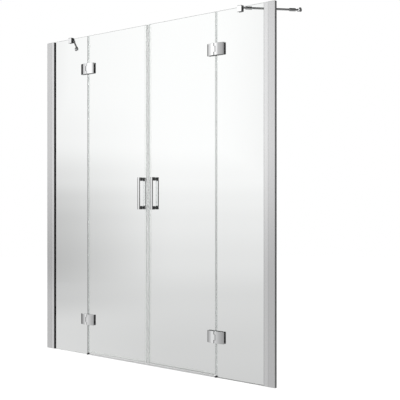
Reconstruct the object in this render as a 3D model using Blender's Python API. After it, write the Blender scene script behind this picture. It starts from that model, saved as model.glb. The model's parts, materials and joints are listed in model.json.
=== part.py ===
"""Hinged shower door for a niche: two glass doors between two fixed glass panes.

Metres, +Z up. X runs along the door from left to right, Y runs into the
shower, and the origin lies on the tray rim, midway along the door, in the
middle of the glass. The left half mirrors the right half.
"""
import math

import bmesh
import bpy
from mathutils import Matrix, Vector
from mathutils.geometry import tessellate_polygon

# The whole door
OPENING_WIDTH = 1.782
OVERALL_HEIGHT = 2.000
HINGE_LINE = 0.5067
TOUCH = 0.0003
OVERRUN = 0.003
FUSED_LAP = 0.001

# Glass
GLASS = 0.008
PANE_GAP = 0.010
PANE_ARRIS = 0.0007
BASE_STRIP = 0.003
DOOR_BOTTOM = 0.0155
GLASS_HOLE_RADIUS = 0.007

# Wall channel, a U with its web on the wall
CHANNEL_DEPTH = 0.042
FRAME_THICKNESS = 0.0171
CHANNEL_WALL = 0.0016
CHANNEL_EDGE_ROUND = 0.0005
DRILL_GROOVE_DEPTH = 0.0005
DRILL_GROOVE_WIDTH = 0.0016
WALL_HOLE_RADIUS = 0.0026
WALL_HOLE_COUNT = 5
WALL_HOLE_INSET = 0.100

# Glazing profile, a tail in the channel and a head round the glass
FRAME_WIDTH = 0.0677
TAIL_SETBACK = 0.014
PROFILE_WALL = 0.0015
HEAD_ROUND = 0.0010
POCKET_DEPTH = 0.015
LIP_THICKNESS = 0.0015

# Glazing gasket, a U round the edge of the glass with roots in the profile's grooves
GASKET = 0.0018
GASKET_WEB = 0.0010
GASKET_GROOVE_DEPTH = 0.0010
GASKET_GROOVE_LENGTH = 0.0045
GASKET_BEAD = 0.0012
GASKET_BEAD_LAP = 0.0024

# Profile caps and screws
CAP_THICKNESS = 0.0015
CAP_PLUG_DEPTH = 0.008
CAP_ROUND = 0.0010
PROFILE_SCREW_RADIUS = 0.0016
PROFILE_SCREW_HEAD_RADIUS = 0.0035
PROFILE_SCREW_HEAD_HEIGHT = 0.0016
PROFILE_SCREW_LENGTH = 0.0055
PROFILE_SCREW_COUNT = 3
PROFILE_SCREW_SETBACK = 0.012
PROFILE_SCREW_INSET = 0.130

# Threshold bar and its end caps
THRESHOLD_WIDTH = 0.018
THRESHOLD_HEIGHT = 0.006
THRESHOLD_TOE = 0.0015
THRESHOLD_TOP_SHARE = 0.35
THRESHOLD_ROUND = 0.0020
END_CAP_LENGTH = 0.011
END_CAP_HEIGHT = 0.011
END_CAP_LAP = 0.0010
END_CAP_EDGE = 0.0008

# Seals
SEAL_WALL = 0.0010
SEAL_LEG = 0.0125
SEAL_ROUND = 0.0004
CLOSING_GAP = 0.0010
MAGNET_TUBE = 0.010
MAGNET_TUBE_WIDTH = 0.009
MAGNET_DEPTH = 0.005
CLOSING_SEAL_DROP = 0.007
HINGE_SEAL_LEG = 0.008
HINGE_SEAL_BULB = 0.006
HINGE_SEAL_GAP = 0.0006
SEAL_END_GAP = 0.0006
DRIP_LEG = 0.011
DRIP_BLADE_GAP = 0.0006
DRIP_FIN_REACH = 0.0045
DRIP_FIN_DROP = 0.0040

# Hinges, three knuckles on a pin outside the glass
HINGE_OFFSET = 0.206
HINGE_HEIGHT = 0.066
LEAF_LENGTH = 0.0575
LEAF_END_THICKNESS = 0.0085
LEAF_END_ROUND = 0.0045
LEAF_EDGE = 0.0007
KNUCKLE_RADIUS = 0.0065
KNUCKLE_STANDOFF = 0.0018
KNUCKLE_GAP = 0.0004
MIDDLE_KNUCKLE_HEIGHT = 0.030
HINGE_WASHER = 0.0010
HINGE_WASHER_SETBACK = 0.0006
HINGE_PIN_RADIUS = 0.003
HINGE_PIN_SETBACK = 0.0008
HINGE_PIN_DOME = 0.0006
PAD = 0.0010
PAD_SETBACK = 0.0010
PLATE_THICKNESS = 0.007
PLATE_MEETING_GAP = 0.002
PLATE_ROUND = 0.0025
HINGE_SCREW_RADIUS = 0.0025
HINGE_SCREW_DEPTH = 0.008
HINGE_SCREW_SPACING = 0.036
HINGE_SCREW_PLACE = 0.031
SCREW_SOCKET_RADIUS = 0.0017
SCREW_SOCKET_DEPTH = 0.0020
SCREW_SOCKET_SIDES = 6

# Handles, one C-shaped flat bar each side of the glass
HANDLE_PLACE = 0.051
HANDLE_CENTRE_HEIGHT = 1.009
HANDLE_LENGTH = 0.188
HANDLE_WIDTH = 0.020
HANDLE_BAR = 0.008
HANDLE_FOOT = 0.020
HANDLE_STANDOFF = 0.0175
HANDLE_ROUND = 0.0025
HANDLE_INNER_ROUND = 0.0030
HANDLE_EDGE = 0.0008
HANDLE_PAD_RADIUS = 0.0090
STUD_RADIUS = 0.003
STUD_DEPTH = 0.012

# Stabiliser arms
CLAMP_PLACE_SHARE = 0.50
CLAMP_WIDTH = 0.028
CLAMP_DROP = 0.026
CLAMP_RISE = 0.008
CLAMP_JAW = 0.007
CLAMP_ROUND = 0.0030
CLAMP_EDGE = 0.0010
CLAMP_SCREW_RADIUS = 0.0025
CLAMP_SCREW_DEPTH = 0.0025
CLAMP_SCREW_RISE = 0.007
ARM_ANGLE = math.radians(47)
ROD_RADIUS = 0.0055
SOCKET_RADIUS = 0.0085
SOCKET_START = 0.016
SOCKET_LENGTH = 0.035
SOCKET_CHAMFER = 0.0012
SOCKET_BORE_DEPTH = 0.024
TONGUE_THICKNESS = 0.006
TONGUE_WIDTH = 0.011
EYE_RADIUS = 0.0075
PIVOT_SETBACK = 0.0085
FORK_LUG = 0.004
FORK_RADIUS = 0.008
PIVOT_RADIUS = 0.0025
PIVOT_HEAD_RADIUS = 0.0042
PIVOT_HEAD_HEIGHT = 0.0014
FLANGE_RADIUS = 0.012
FLANGE_THICKNESS = 0.0055
FLANGE_CHAMFER = 0.0010

# Fineness of round shapes
CORNER_STEPS = 3
CROWN_STEPS = 5
KNUCKLE_STEPS = 8
HOLE_SIDES = 12
SCREW_SIDES = 8
ROUND_SIDES = 16

LEFT = -1
RIGHT = 1
SIDES = {"left": LEFT, "right": RIGHT}
FIXED = 1
DOOR = -1

HALF_WIDTH = OPENING_WIDTH / 2
HALF_GLASS = GLASS / 2
HALF_FRAME = FRAME_THICKNESS / 2
HALF_GAP = PANE_GAP / 2
DOOR_EDGE = HINGE_LINE - HALF_GAP
FIXED_EDGE = HINGE_LINE + HALF_GAP
POCKET_HALF = HALF_GLASS + GASKET
POCKET_BOTTOM = FRAME_WIDTH - POCKET_DEPTH
GASKET_START = POCKET_BOTTOM + TOUCH
GASKET_END = FRAME_WIDTH + TOUCH + GASKET_BEAD
GLASS_START = GASKET_START + GASKET_WEB + TOUCH
HEAD_START = CHANNEL_DEPTH + TOUCH
PROFILE_TOP = OVERALL_HEIGHT - CAP_THICKNESS - TOUCH
SEAL_OUT = HALF_GLASS + TOUCH + SEAL_WALL
CLOSING_SEAL_START = CLOSING_GAP / 2
CLOSING_WEB = CLOSING_SEAL_START + MAGNET_TUBE + SEAL_WALL
CLOSING_EDGE = CLOSING_WEB + TOUCH
CLOSING_SEAL_END = CLOSING_WEB + SEAL_LEG
PAD_FACE = HALF_GLASS + TOUCH
METAL_FACE = PAD_FACE + PAD
LEAF_BACK = -METAL_FACE
PIN_Y = LEAF_BACK - KNUCKLE_STANDOFF - KNUCKLE_RADIUS
LEAF_FRONT = PIN_Y - KNUCKLE_RADIUS
PLATE_BACK = METAL_FACE + PLATE_THICKNESS
KNUCKLE_END_GAP = HINGE_WASHER + 2 * TOUCH
HINGE_HEIGHTS = {
    "lower": DOOR_BOTTOM + HINGE_OFFSET,
    "upper": OVERALL_HEIGHT - HINGE_OFFSET,
}
FORK_GAP = TONGUE_THICKNESS + 2 * TOUCH
FORK_HALF = FORK_GAP / 2 + FORK_LUG
CLAMP_BACK = METAL_FACE + CLAMP_JAW
VISIBLE_FIXED_PANE = HALF_WIDTH - FRAME_WIDTH - FIXED_EDGE
CLAMP_X = FIXED_EDGE + VISIBLE_FIXED_PANE * CLAMP_PLACE_SHARE
ARM_START = Vector((CLAMP_X, CLAMP_BACK + PIVOT_SETBACK, OVERALL_HEIGHT))
ARM_END_X = HALF_WIDTH - FLANGE_THICKNESS - PIVOT_SETBACK
ARM_LENGTH = (ARM_END_X - CLAMP_X) / math.cos(ARM_ANGLE)
ARM_END = ARM_START + Vector((math.cos(ARM_ANGLE), math.sin(ARM_ANGLE), 0)) * ARM_LENGTH


def clear_scene():
    for item in list(bpy.data.objects):
        bpy.data.objects.remove(item, do_unlink=True)


def finish(name, colour, roughness, metallic):
    material = bpy.data.materials.new(name)
    material.use_nodes = True
    shader = material.node_tree.nodes["Principled BSDF"]
    shader.inputs["Base Color"].default_value = (*colour, 1)
    shader.inputs["Roughness"].default_value = roughness
    shader.inputs["Metallic"].default_value = metallic
    material.diffuse_color = (*colour, 1)
    return material


def make_finishes():
    return {
        "aluminium": finish("satin_aluminium", (0.78, 0.78, 0.79), 0.28, 1.0),
        "chrome": finish("polished_chrome", (0.86, 0.87, 0.88), 0.05, 1.0),
        "steel": finish("stainless_steel", (0.62, 0.62, 0.63), 0.25, 1.0),
        "glass": finish("clear_glass", (0.86, 0.92, 0.90), 0.02, 0.0),
        "clear_seal": finish("clear_seal", (0.84, 0.86, 0.86), 0.25, 0.0),
        "rubber": finish("black_rubber", (0.03, 0.03, 0.03), 0.60, 0.0),
        "grey_plastic": finish("grey_plastic", (0.55, 0.56, 0.57), 0.40, 0.0),
        "dark_plastic": finish("dark_plastic", (0.05, 0.05, 0.06), 0.45, 0.0),
        "magnet": finish("magnet_strip", (0.86, 0.87, 0.87), 0.55, 0.0),
    }


def rounded(corners):
    """Turn corners (a, b, radius) into outline points, with an arc at each radius."""
    points = []
    for index, (a, b, radius) in enumerate(corners):
        here = Vector((a, b))
        if radius == 0:
            points.append(here)
            continue
        back = (Vector(corners[index - 1][:2]) - here).normalized()
        ahead = (Vector(corners[(index + 1) % len(corners)][:2]) - here).normalized()
        half = back.angle(ahead) / 2
        centre = here + (back + ahead).normalized() * radius / math.sin(half)
        first = here + back * radius / math.tan(half) - centre
        turn = math.pi - 2 * half
        if back.cross(ahead) > 0:
            turn = -turn
        for step in range(CORNER_STEPS + 1):
            angle = turn * step / CORNER_STEPS
            points.append(centre + Matrix.Rotation(angle, 2) @ first)
    return points


def circle(a, b, radius, sides=HOLE_SIDES):
    """Points round a circle that starts on the A axis."""
    angles = [2 * math.pi * step / sides for step in range(sides)]
    return [Vector((a + radius * math.cos(t), b + radius * math.sin(t))) for t in angles]


def rectangle(a0, b0, a1, b1, radius=0):
    return rounded([(a0, b0, radius), (a1, b0, radius), (a1, b1, radius), (a0, b1, radius)])


ALONG = {
    "x": lambda a, b, c: (c, a, b),
    "y": lambda a, b, c: (a, c, b),
    "z": lambda a, b, c: (a, b, c),
}


def extrude(axis, low, high, outline, holes=(), edge=0):
    """Solid that carries an outline, with through holes, along one axis.

    The outline lies in the other two axes, in X, Y, Z order. An edge width
    chamfers both ends of a solid without holes.
    """
    lift = ALONG[axis]
    mesh = bmesh.new()
    loops = [outline, *holes]
    rings = []
    for level in (low, high):
        rings.append([[mesh.verts.new(lift(p[0], p[1], level)) for p in loop] for loop in loops])
    for lower, upper in zip(*rings):
        for index in range(len(lower)):
            after = (index + 1) % len(lower)
            mesh.faces.new((lower[index], lower[after], upper[after], upper[index]))
    if holes:
        flat = [[Vector((p[0], p[1], 0)) for p in loop] for loop in loops]
        for ring in rings:
            corners = [vertex for loop in ring for vertex in loop]
            for triple in tessellate_polygon(flat):
                mesh.faces.new([corners[index] for index in triple])
    else:
        caps = [mesh.faces.new(ring[0]) for ring in rings]
        if edge:
            rims = {rim for cap in caps for rim in cap.edges}
            bmesh.ops.bevel(mesh, geom=list(rims), offset=edge, segments=1, affect="EDGES")
    bmesh.ops.recalc_face_normals(mesh, faces=mesh.faces)
    return mesh


def turned(profile, sides=ROUND_SIDES):
    """Solid of revolution about Z from a profile of (radius, z) pairs, top to bottom.

    The profile starts and ends on the axis.
    """
    mesh = bmesh.new()
    rings = []
    for radius, z in profile:
        if radius == 0:
            rings.append([mesh.verts.new((0, 0, z))])
        else:
            rings.append([mesh.verts.new((p[0], p[1], z)) for p in circle(0, 0, radius, sides)])
    for upper, lower in zip(rings, rings[1:]):
        for index in range(sides):
            after = (index + 1) % sides
            corners = [
                upper[index % len(upper)],
                lower[index % len(lower)],
                lower[after % len(lower)],
                upper[after % len(upper)],
            ]
            mesh.faces.new(list(dict.fromkeys(corners)))
    bmesh.ops.recalc_face_normals(mesh, faces=mesh.faces)
    return mesh


def block(low, high):
    return extrude("z", low[2], high[2], rectangle(low[0], low[1], high[0], high[1]))


def moved(mesh, matrix):
    bmesh.ops.transform(mesh, matrix=matrix, verts=mesh.verts)
    return mesh


def side_of(mesh, side):
    """Leave a right-hand solid as it is, or mirror it into the left half."""
    if side == LEFT:
        bmesh.ops.transform(mesh, matrix=Matrix.Scale(-1, 4, (1, 0, 0)), verts=mesh.verts)
        bmesh.ops.recalc_face_normals(mesh, faces=mesh.faces)
    return mesh


def gathered(meshes):
    """One helper mesh that holds several solids."""
    whole = bmesh.new()
    for mesh in meshes:
        data = bpy.data.meshes.new("gathered")
        mesh.to_mesh(data)
        mesh.free()
        whole.from_mesh(data)
        bpy.data.meshes.remove(data)
    return whole


def add_object(name, mesh, origin):
    data = bpy.data.meshes.new(name)
    moved(mesh, Matrix.Translation(-origin))
    mesh.to_mesh(data)
    mesh.free()
    item = bpy.data.objects.new(name, data)
    item.location = origin
    bpy.context.collection.objects.link(item)
    return item


def hang(item, carrier):
    """Let a pivot carry an object, which stays where it is."""
    item.parent = carrier
    item.matrix_parent_inverse = Matrix.Translation(-carrier.location)


def piece(name, mesh, material, carrier=None):
    """Named sub-part with its own material, carried by a pivot if it moves."""
    origin = carrier.location.copy() if carrier else Vector((0, 0, 0))
    item = add_object(name, mesh, origin)
    item.data.materials.append(material)
    item.data.shade_smooth()
    item.data.set_sharp_from_angle(angle=math.radians(30))
    if carrier:
        hang(item, carrier)
    return item


def combine(item, name, mesh, operation):
    """Cut a helper solid out of a sub-part, or join it on, with a live Boolean."""
    helper = add_object(name, mesh, item.location.copy())
    if item.parent:
        hang(helper, item.parent)
    helper.hide_render = True
    helper.display_type = "WIRE"
    step = item.modifiers.new(name, "BOOLEAN")
    step.operation = operation
    step.object = helper


def pivot(name, place):
    marker = bpy.data.objects.new(name, None)
    marker.location = place
    bpy.context.collection.objects.link(marker)
    return marker


def facing_inward(mesh, x, y, z):
    """Put a turned solid at a place, laid down so that its top faces into the shower."""
    return moved(mesh, Matrix.Translation((x, y, z)) @ Matrix.Rotation(-math.pi / 2, 4, "X"))


def spread(count, low, high):
    return [low + (high - low) * step / (count - 1) for step in range(count)]


def rods(radius, places, low, high, axis="y", sides=HOLE_SIDES):
    """Parallel round bars, to cut holes or to join on; places are in the other two axes."""
    return gathered([extrude(axis, low, high, circle(a, b, radius, sides)) for a, b in places])


def from_wall(outline):
    """Outline given inward from the right-hand wall, turned into X and Y."""
    return [Vector((HALF_WIDTH - s, y)) for s, y in outline]


def mirrored_section(upper):
    """Corners (s, y, radius) above the middle, repeated below it in reverse."""
    return upper + [(s, -y, radius) for s, y, radius in reversed(upper)]


def make_wall_channel(name, side, finishes):
    inner = HALF_FRAME - CHANNEL_WALL
    groove = DRILL_GROOVE_WIDTH / 2
    upper = [
        (0, HALF_FRAME, CHANNEL_EDGE_ROUND),
        (CHANNEL_DEPTH, HALF_FRAME, CHANNEL_EDGE_ROUND),
        (CHANNEL_DEPTH, inner, CHANNEL_EDGE_ROUND),
        (CHANNEL_WALL, inner, 0),
        (CHANNEL_WALL, groove, 0),
        (CHANNEL_WALL - DRILL_GROOVE_DEPTH, 0, 0),
    ]
    lower = [(s, -y, radius) for s, y, radius in reversed(upper[:-1])]
    mesh = extrude("z", 0, PROFILE_TOP, from_wall(rounded(upper + lower)))
    item = piece(name, side_of(mesh, side), finishes["aluminium"])
    heights = spread(WALL_HOLE_COUNT, WALL_HOLE_INSET, OVERALL_HEIGHT - WALL_HOLE_INSET)
    web = HALF_WIDTH - CHANNEL_WALL - OVERRUN
    holes = rods(
        WALL_HOLE_RADIUS, [(0, z) for z in heights], web, HALF_WIDTH + OVERRUN, axis="x"
    )
    combine(item, f"{name}_wall_holes", side_of(holes, side), "DIFFERENCE")
    combine(item, f"{name}_screws", side_of(profile_screws(), side), "UNION")


def profile_screw_places():
    x = HALF_WIDTH - CHANNEL_DEPTH + PROFILE_SCREW_SETBACK
    low = PROFILE_SCREW_INSET
    heights = spread(PROFILE_SCREW_COUNT, low, OVERALL_HEIGHT - low)
    return [(x, z) for z in heights]


def profile_screws():
    """Pan-head screws through the channel's inner flange into the glazing profile."""
    profile = [
        (0, PROFILE_SCREW_HEAD_HEIGHT),
        (PROFILE_SCREW_HEAD_RADIUS / 2, PROFILE_SCREW_HEAD_HEIGHT),
        (PROFILE_SCREW_HEAD_RADIUS, PROFILE_SCREW_HEAD_HEIGHT / 2),
        (PROFILE_SCREW_HEAD_RADIUS, -TOUCH),
        (PROFILE_SCREW_RADIUS, -TOUCH),
        (PROFILE_SCREW_RADIUS, -PROFILE_SCREW_LENGTH),
        (0, -PROFILE_SCREW_LENGTH),
    ]
    screws = []
    for x, z in profile_screw_places():
        screws.append(facing_inward(turned(profile, SCREW_SIDES), x, HALF_FRAME, z))
    return gathered(screws)


def make_glazing_profile(name, side, finishes):
    tail = HALF_FRAME - CHANNEL_WALL - TOUCH
    start = CHANNEL_WALL + TAIL_SETBACK
    groove_end = FRAME_WIDTH - LIP_THICKNESS
    groove_start = groove_end - GASKET_GROOVE_LENGTH
    groove_top = POCKET_HALF + GASKET_GROOVE_DEPTH
    upper = [
        (start, tail, 0),
        (HEAD_START, tail, 0),
        (HEAD_START, HALF_FRAME, CHANNEL_EDGE_ROUND),
        (FRAME_WIDTH, HALF_FRAME, HEAD_ROUND),
        (FRAME_WIDTH, POCKET_HALF, 0),
        (groove_end, POCKET_HALF, 0),
        (groove_end, groove_top, 0),
        (groove_start, groove_top, 0),
        (groove_start, POCKET_HALF, 0),
        (POCKET_BOTTOM, POCKET_HALF, 0),
    ]
    chamber = rectangle(
        start + PROFILE_WALL, PROFILE_WALL - tail, POCKET_BOTTOM - PROFILE_WALL, tail - PROFILE_WALL
    )
    outline = from_wall(rounded(mirrored_section(upper)))
    mesh = extrude("z", 0, PROFILE_TOP, outline, [from_wall(chamber)])
    item = piece(name, side_of(mesh, side), finishes["aluminium"])
    holes = rods(
        PROFILE_SCREW_RADIUS + TOUCH, profile_screw_places(), tail - PROFILE_WALL - OVERRUN, HALF_FRAME
    )
    combine(item, f"{name}_screw_holes", side_of(holes, side), "DIFFERENCE")


def make_glazing_gasket(name, side, finishes):
    lip_side = POCKET_HALF - TOUCH
    root_top = POCKET_HALF + GASKET_GROOVE_DEPTH - TOUCH
    root_end = FRAME_WIDTH - LIP_THICKNESS - TOUCH
    root_start = FRAME_WIDTH - LIP_THICKNESS - GASKET_GROOVE_LENGTH + TOUCH
    bead_start = FRAME_WIDTH + TOUCH
    bead_top = POCKET_HALF + GASKET_BEAD_LAP
    upper = [
        (GASKET_START, lip_side, 0),
        (root_start, lip_side, 0),
        (root_start, root_top, 0),
        (root_end, root_top, 0),
        (root_end, lip_side, 0),
        (bead_start, lip_side, 0),
        (bead_start, bead_top, 0),
        (GASKET_END, bead_top, GASKET_BEAD / 2),
        (GASKET_END, PAD_FACE, 0),
        (GASKET_START + GASKET_WEB, PAD_FACE, 0),
    ]
    outline = from_wall(rounded(mirrored_section(upper)))
    mesh = extrude("z", 0, PROFILE_TOP, outline)
    piece(name, side_of(mesh, side), finishes["rubber"])


def make_profile_cap(name, side, finishes):
    slot = POCKET_HALF + TOUCH
    upper = [
        (0, HALF_FRAME, CAP_ROUND),
        (FRAME_WIDTH, HALF_FRAME, CAP_ROUND),
        (FRAME_WIDTH, slot, 0),
        (POCKET_BOTTOM, slot, 0),
    ]
    outline = from_wall(rounded(mirrored_section(upper)))
    low = OVERALL_HEIGHT - CAP_THICKNESS
    mesh = extrude("z", low, OVERALL_HEIGHT, outline)
    item = piece(name, side_of(mesh, side), finishes["grey_plastic"])
    half = HALF_FRAME - CHANNEL_WALL - PROFILE_WALL - 2 * TOUCH
    start = CHANNEL_WALL + TAIL_SETBACK + PROFILE_WALL + TOUCH
    plug_outline = from_wall(rectangle(start, -half, POCKET_BOTTOM - PROFILE_WALL - TOUCH, half))
    plug = extrude("z", low - CAP_PLUG_DEPTH, low + CAP_THICKNESS / 2, plug_outline)
    combine(item, f"{name}_plug", side_of(plug, side), "UNION")


def pane(x0, x1, z0, z1):
    """Upright glass pane with its edges ground to a small arris."""
    mesh = extrude("y", -HALF_GLASS, HALF_GLASS, rectangle(x0, z0, x1, z1))
    bmesh.ops.bevel(mesh, geom=list(mesh.edges), offset=PANE_ARRIS, segments=1, affect="EDGES")
    return mesh


def hinge_screw_places(leaf_side, *heights):
    """Screw places of one leaf side in hinges at these heights, in X and Z."""
    x = HINGE_LINE + leaf_side * HINGE_SCREW_PLACE
    half = HINGE_SCREW_SPACING / 2
    return [(x, z + shift) for z in heights for shift in (-half, half)]


def make_fixed_pane(name, side, finishes):
    mesh = pane(FIXED_EDGE, HALF_WIDTH - GLASS_START, BASE_STRIP + TOUCH, OVERALL_HEIGHT)
    item = piece(name, side_of(mesh, side), finishes["glass"])
    places = hinge_screw_places(FIXED, *HINGE_HEIGHTS.values())
    holes = rods(GLASS_HOLE_RADIUS, places, -HALF_GLASS - OVERRUN, HALF_GLASS + OVERRUN)
    combine(item, f"{name}_hinge_holes", side_of(holes, side), "DIFFERENCE")


def handle_stud_places():
    offset = HANDLE_LENGTH / 2 - HANDLE_FOOT / 2
    return [(HANDLE_PLACE, HANDLE_CENTRE_HEIGHT + shift) for shift in (-offset, offset)]


def make_door_pane(name, side, finishes, carrier):
    mesh = pane(CLOSING_EDGE, DOOR_EDGE, DOOR_BOTTOM, OVERALL_HEIGHT)
    item = piece(name, side_of(mesh, side), finishes["glass"], carrier)
    places = hinge_screw_places(DOOR, *HINGE_HEIGHTS.values()) + handle_stud_places()
    holes = rods(GLASS_HOLE_RADIUS, places, -HALF_GLASS - OVERRUN, HALF_GLASS + OVERRUN)
    combine(item, f"{name}_holes", side_of(holes, side), "DIFFERENCE")


def make_base_strip(name, side, finishes):
    outline = rectangle(-HALF_GLASS, 0, HALF_GLASS, BASE_STRIP, SEAL_ROUND)
    mesh = extrude("x", FIXED_EDGE, HALF_WIDTH - GASKET_END - TOUCH, outline)
    piece(name, side_of(mesh, side), finishes["clear_seal"])


def make_threshold_bar(finishes):
    half = THRESHOLD_WIDTH / 2
    crest = half * THRESHOLD_TOP_SHARE
    outline = rounded([
        (-half, 0, 0),
        (half, 0, 0),
        (half, THRESHOLD_TOE, 0),
        (crest, THRESHOLD_HEIGHT, THRESHOLD_ROUND),
        (-crest, THRESHOLD_HEIGHT, THRESHOLD_ROUND),
        (-half, THRESHOLD_TOE, 0),
    ])
    end = FIXED_EDGE - TOUCH - END_CAP_LENGTH - TOUCH
    piece("threshold_bar", extrude("x", -end, end, outline), finishes["aluminium"])


def make_threshold_end_cap(name, side, finishes):
    end = FIXED_EDGE - TOUCH
    half = THRESHOLD_WIDTH / 2 + END_CAP_LAP
    crest = half * THRESHOLD_TOP_SHARE
    outline = rounded([
        (-half, 0, 0),
        (half, 0, 0),
        (half, THRESHOLD_HEIGHT, 0),
        (crest, END_CAP_HEIGHT, THRESHOLD_ROUND),
        (-crest, END_CAP_HEIGHT, THRESHOLD_ROUND),
        (-half, THRESHOLD_HEIGHT, 0),
    ])
    mesh = extrude("x", end - END_CAP_LENGTH, end, outline, edge=END_CAP_EDGE)
    piece(name, side_of(mesh, side), finishes["dark_plastic"])


def crown(u):
    """Front face of a hinge leaf at a distance from the pin, a shallow arc."""
    rise = LEAF_BACK - LEAF_END_THICKNESS - LEAF_FRONT
    radius = (LEAF_LENGTH ** 2 + rise ** 2) / (2 * rise)
    return LEAF_FRONT + radius - math.sqrt(radius ** 2 - u ** 2)


def leaf_outline(leaf_side):
    """Plan of a whole leaf, with its knuckle round the pin, before the notches."""
    corners = [(LEAF_LENGTH, LEAF_BACK, 0)]
    for u in spread(CROWN_STEPS + 1, LEAF_LENGTH, 0):
        corners.append((u, crown(u), LEAF_END_ROUND if u == LEAF_LENGTH else 0))
    points = rounded(corners)
    for step in range(1, KNUCKLE_STEPS + 1):
        angle = math.pi * step / KNUCKLE_STEPS
        x = -KNUCKLE_RADIUS * math.sin(angle)
        points.append(Vector((x, PIN_Y - KNUCKLE_RADIUS * math.cos(angle))))
    points.append(Vector((HALF_GAP, LEAF_BACK)))
    return [Vector((HINGE_LINE + leaf_side * u, y)) for u, y in points]


def leaf_solid(leaf_side, z):
    half = HINGE_HEIGHT / 2
    return extrude("z", z - half, z + half, leaf_outline(leaf_side), edge=LEAF_EDGE)


def notch(leaf_side, low, high):
    """Cutter that clears the other leaf's knuckle from this leaf."""
    reach = KNUCKLE_RADIUS + KNUCKLE_GAP
    near = HINGE_LINE + leaf_side * reach
    far = HINGE_LINE - leaf_side * (reach + OVERRUN)
    x0, x1 = sorted((near, far))
    return block((x0, LEAF_FRONT - OVERRUN, low), (x1, LEAF_BACK + OVERRUN, high))


def leaf_notches(leaf_side, z):
    middle = MIDDLE_KNUCKLE_HEIGHT / 2
    beyond = HINGE_HEIGHT / 2 + OVERRUN
    if leaf_side == FIXED:
        clear = middle + KNUCKLE_END_GAP
        return notch(FIXED, z - clear, z + clear)
    return gathered([
        notch(DOOR, z + middle, z + beyond),
        notch(DOOR, z - beyond, z - middle),
    ])


def hinge_pad(leaf_side, face, z):
    """Clear pad on one face of the glass; face is 1 inside the shower."""
    half = HINGE_HEIGHT / 2 - PAD_SETBACK
    near = HINGE_LINE + leaf_side * (HALF_GAP + PAD_SETBACK)
    far = HINGE_LINE + leaf_side * (LEAF_LENGTH - PAD_SETBACK)
    x0, x1 = sorted((near, far))
    y0, y1 = sorted((face * PAD_FACE, face * (METAL_FACE + FUSED_LAP)))
    return block((x0, y0, z - half), (x1, y1, z + half))


def hinge_washers(z):
    """Bearing washers on the inner ends of the fixed leaf's knuckles."""
    radius = KNUCKLE_RADIUS - HINGE_WASHER_SETBACK
    near = MIDDLE_KNUCKLE_HEIGHT / 2 + TOUCH
    far = near + HINGE_WASHER + FUSED_LAP
    outline = circle(HINGE_LINE, PIN_Y, radius)
    return [extrude("z", low, high, outline) for low, high in ((z + near, z + far), (z - far, z - near))]


def leaf_fittings(leaf_side, z):
    fittings = [hinge_pad(leaf_side, -1, z)]
    if leaf_side == FIXED:
        fittings += hinge_washers(z)
    return gathered(fittings)


def leaf_bores(leaf_side, z):
    """The pin bore and the blind screw holes of one leaf."""
    half = HINGE_HEIGHT / 2
    radius = HINGE_PIN_RADIUS + TOUCH
    bore = rods(radius, [(HINGE_LINE, PIN_Y)], z - half - OVERRUN, z + half + OVERRUN, axis="z")
    deepest = LEAF_BACK - HINGE_SCREW_DEPTH - TOUCH
    places = hinge_screw_places(leaf_side, z)
    screws = rods(HINGE_SCREW_RADIUS + TOUCH, places, deepest, OVERRUN - PAD_FACE)
    return gathered([bore, screws])


def make_hinge_leaf(name, side, leaf_side, z, finishes, carrier=None):
    """Outer casting of a hinge, with its pad and, on the fixed leaf, the washers."""
    item = piece(name, side_of(leaf_solid(leaf_side, z), side), finishes["chrome"], carrier)
    combine(item, f"{name}_notches", side_of(leaf_notches(leaf_side, z), side), "DIFFERENCE")
    combine(item, f"{name}_fittings", side_of(leaf_fittings(leaf_side, z), side), "UNION")
    combine(item, f"{name}_bores", side_of(leaf_bores(leaf_side, z), side), "DIFFERENCE")


def make_hinge_plate(name, side, leaf_side, z, finishes, carrier=None):
    """Flat inner plate of a hinge, with its pad and the screws that reach into the leaf."""
    half = HINGE_HEIGHT / 2
    near = PLATE_MEETING_GAP / 2
    outline = rounded([
        (near, METAL_FACE, 0),
        (LEAF_LENGTH, METAL_FACE, 0),
        (LEAF_LENGTH, PLATE_BACK, PLATE_ROUND),
        (near, PLATE_BACK, 0),
    ])
    placed = [Vector((HINGE_LINE + leaf_side * u, y)) for u, y in outline]
    mesh = extrude("z", z - half, z + half, placed, edge=LEAF_EDGE)
    item = piece(name, side_of(mesh, side), finishes["chrome"], carrier)
    places = hinge_screw_places(leaf_side, z)
    screws = rods(HINGE_SCREW_RADIUS, places, LEAF_BACK - HINGE_SCREW_DEPTH, METAL_FACE + FUSED_LAP)
    floor = PLATE_BACK - SCREW_SOCKET_DEPTH
    sockets = rods(
        SCREW_SOCKET_RADIUS, places, floor, PLATE_BACK + OVERRUN, sides=SCREW_SOCKET_SIDES
    )
    combine(item, f"{name}_pad", side_of(hinge_pad(leaf_side, 1, z), side), "UNION")
    combine(item, f"{name}_screws", side_of(screws, side), "UNION")
    combine(item, f"{name}_sockets", side_of(sockets, side), "DIFFERENCE")


def make_hinge_pin(name, side, z, finishes):
    half = HINGE_HEIGHT / 2 - HINGE_PIN_SETBACK
    profile = [
        (0, half),
        (HINGE_PIN_RADIUS - HINGE_PIN_DOME, half),
        (HINGE_PIN_RADIUS, half - HINGE_PIN_DOME),
        (HINGE_PIN_RADIUS, HINGE_PIN_DOME - half),
        (HINGE_PIN_RADIUS - HINGE_PIN_DOME, -half),
        (0, -half),
    ]
    mesh = moved(turned(profile, HOLE_SIDES), Matrix.Translation((HINGE_LINE, PIN_Y, z)))
    piece(name, side_of(mesh, side), finishes["steel"])


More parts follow.
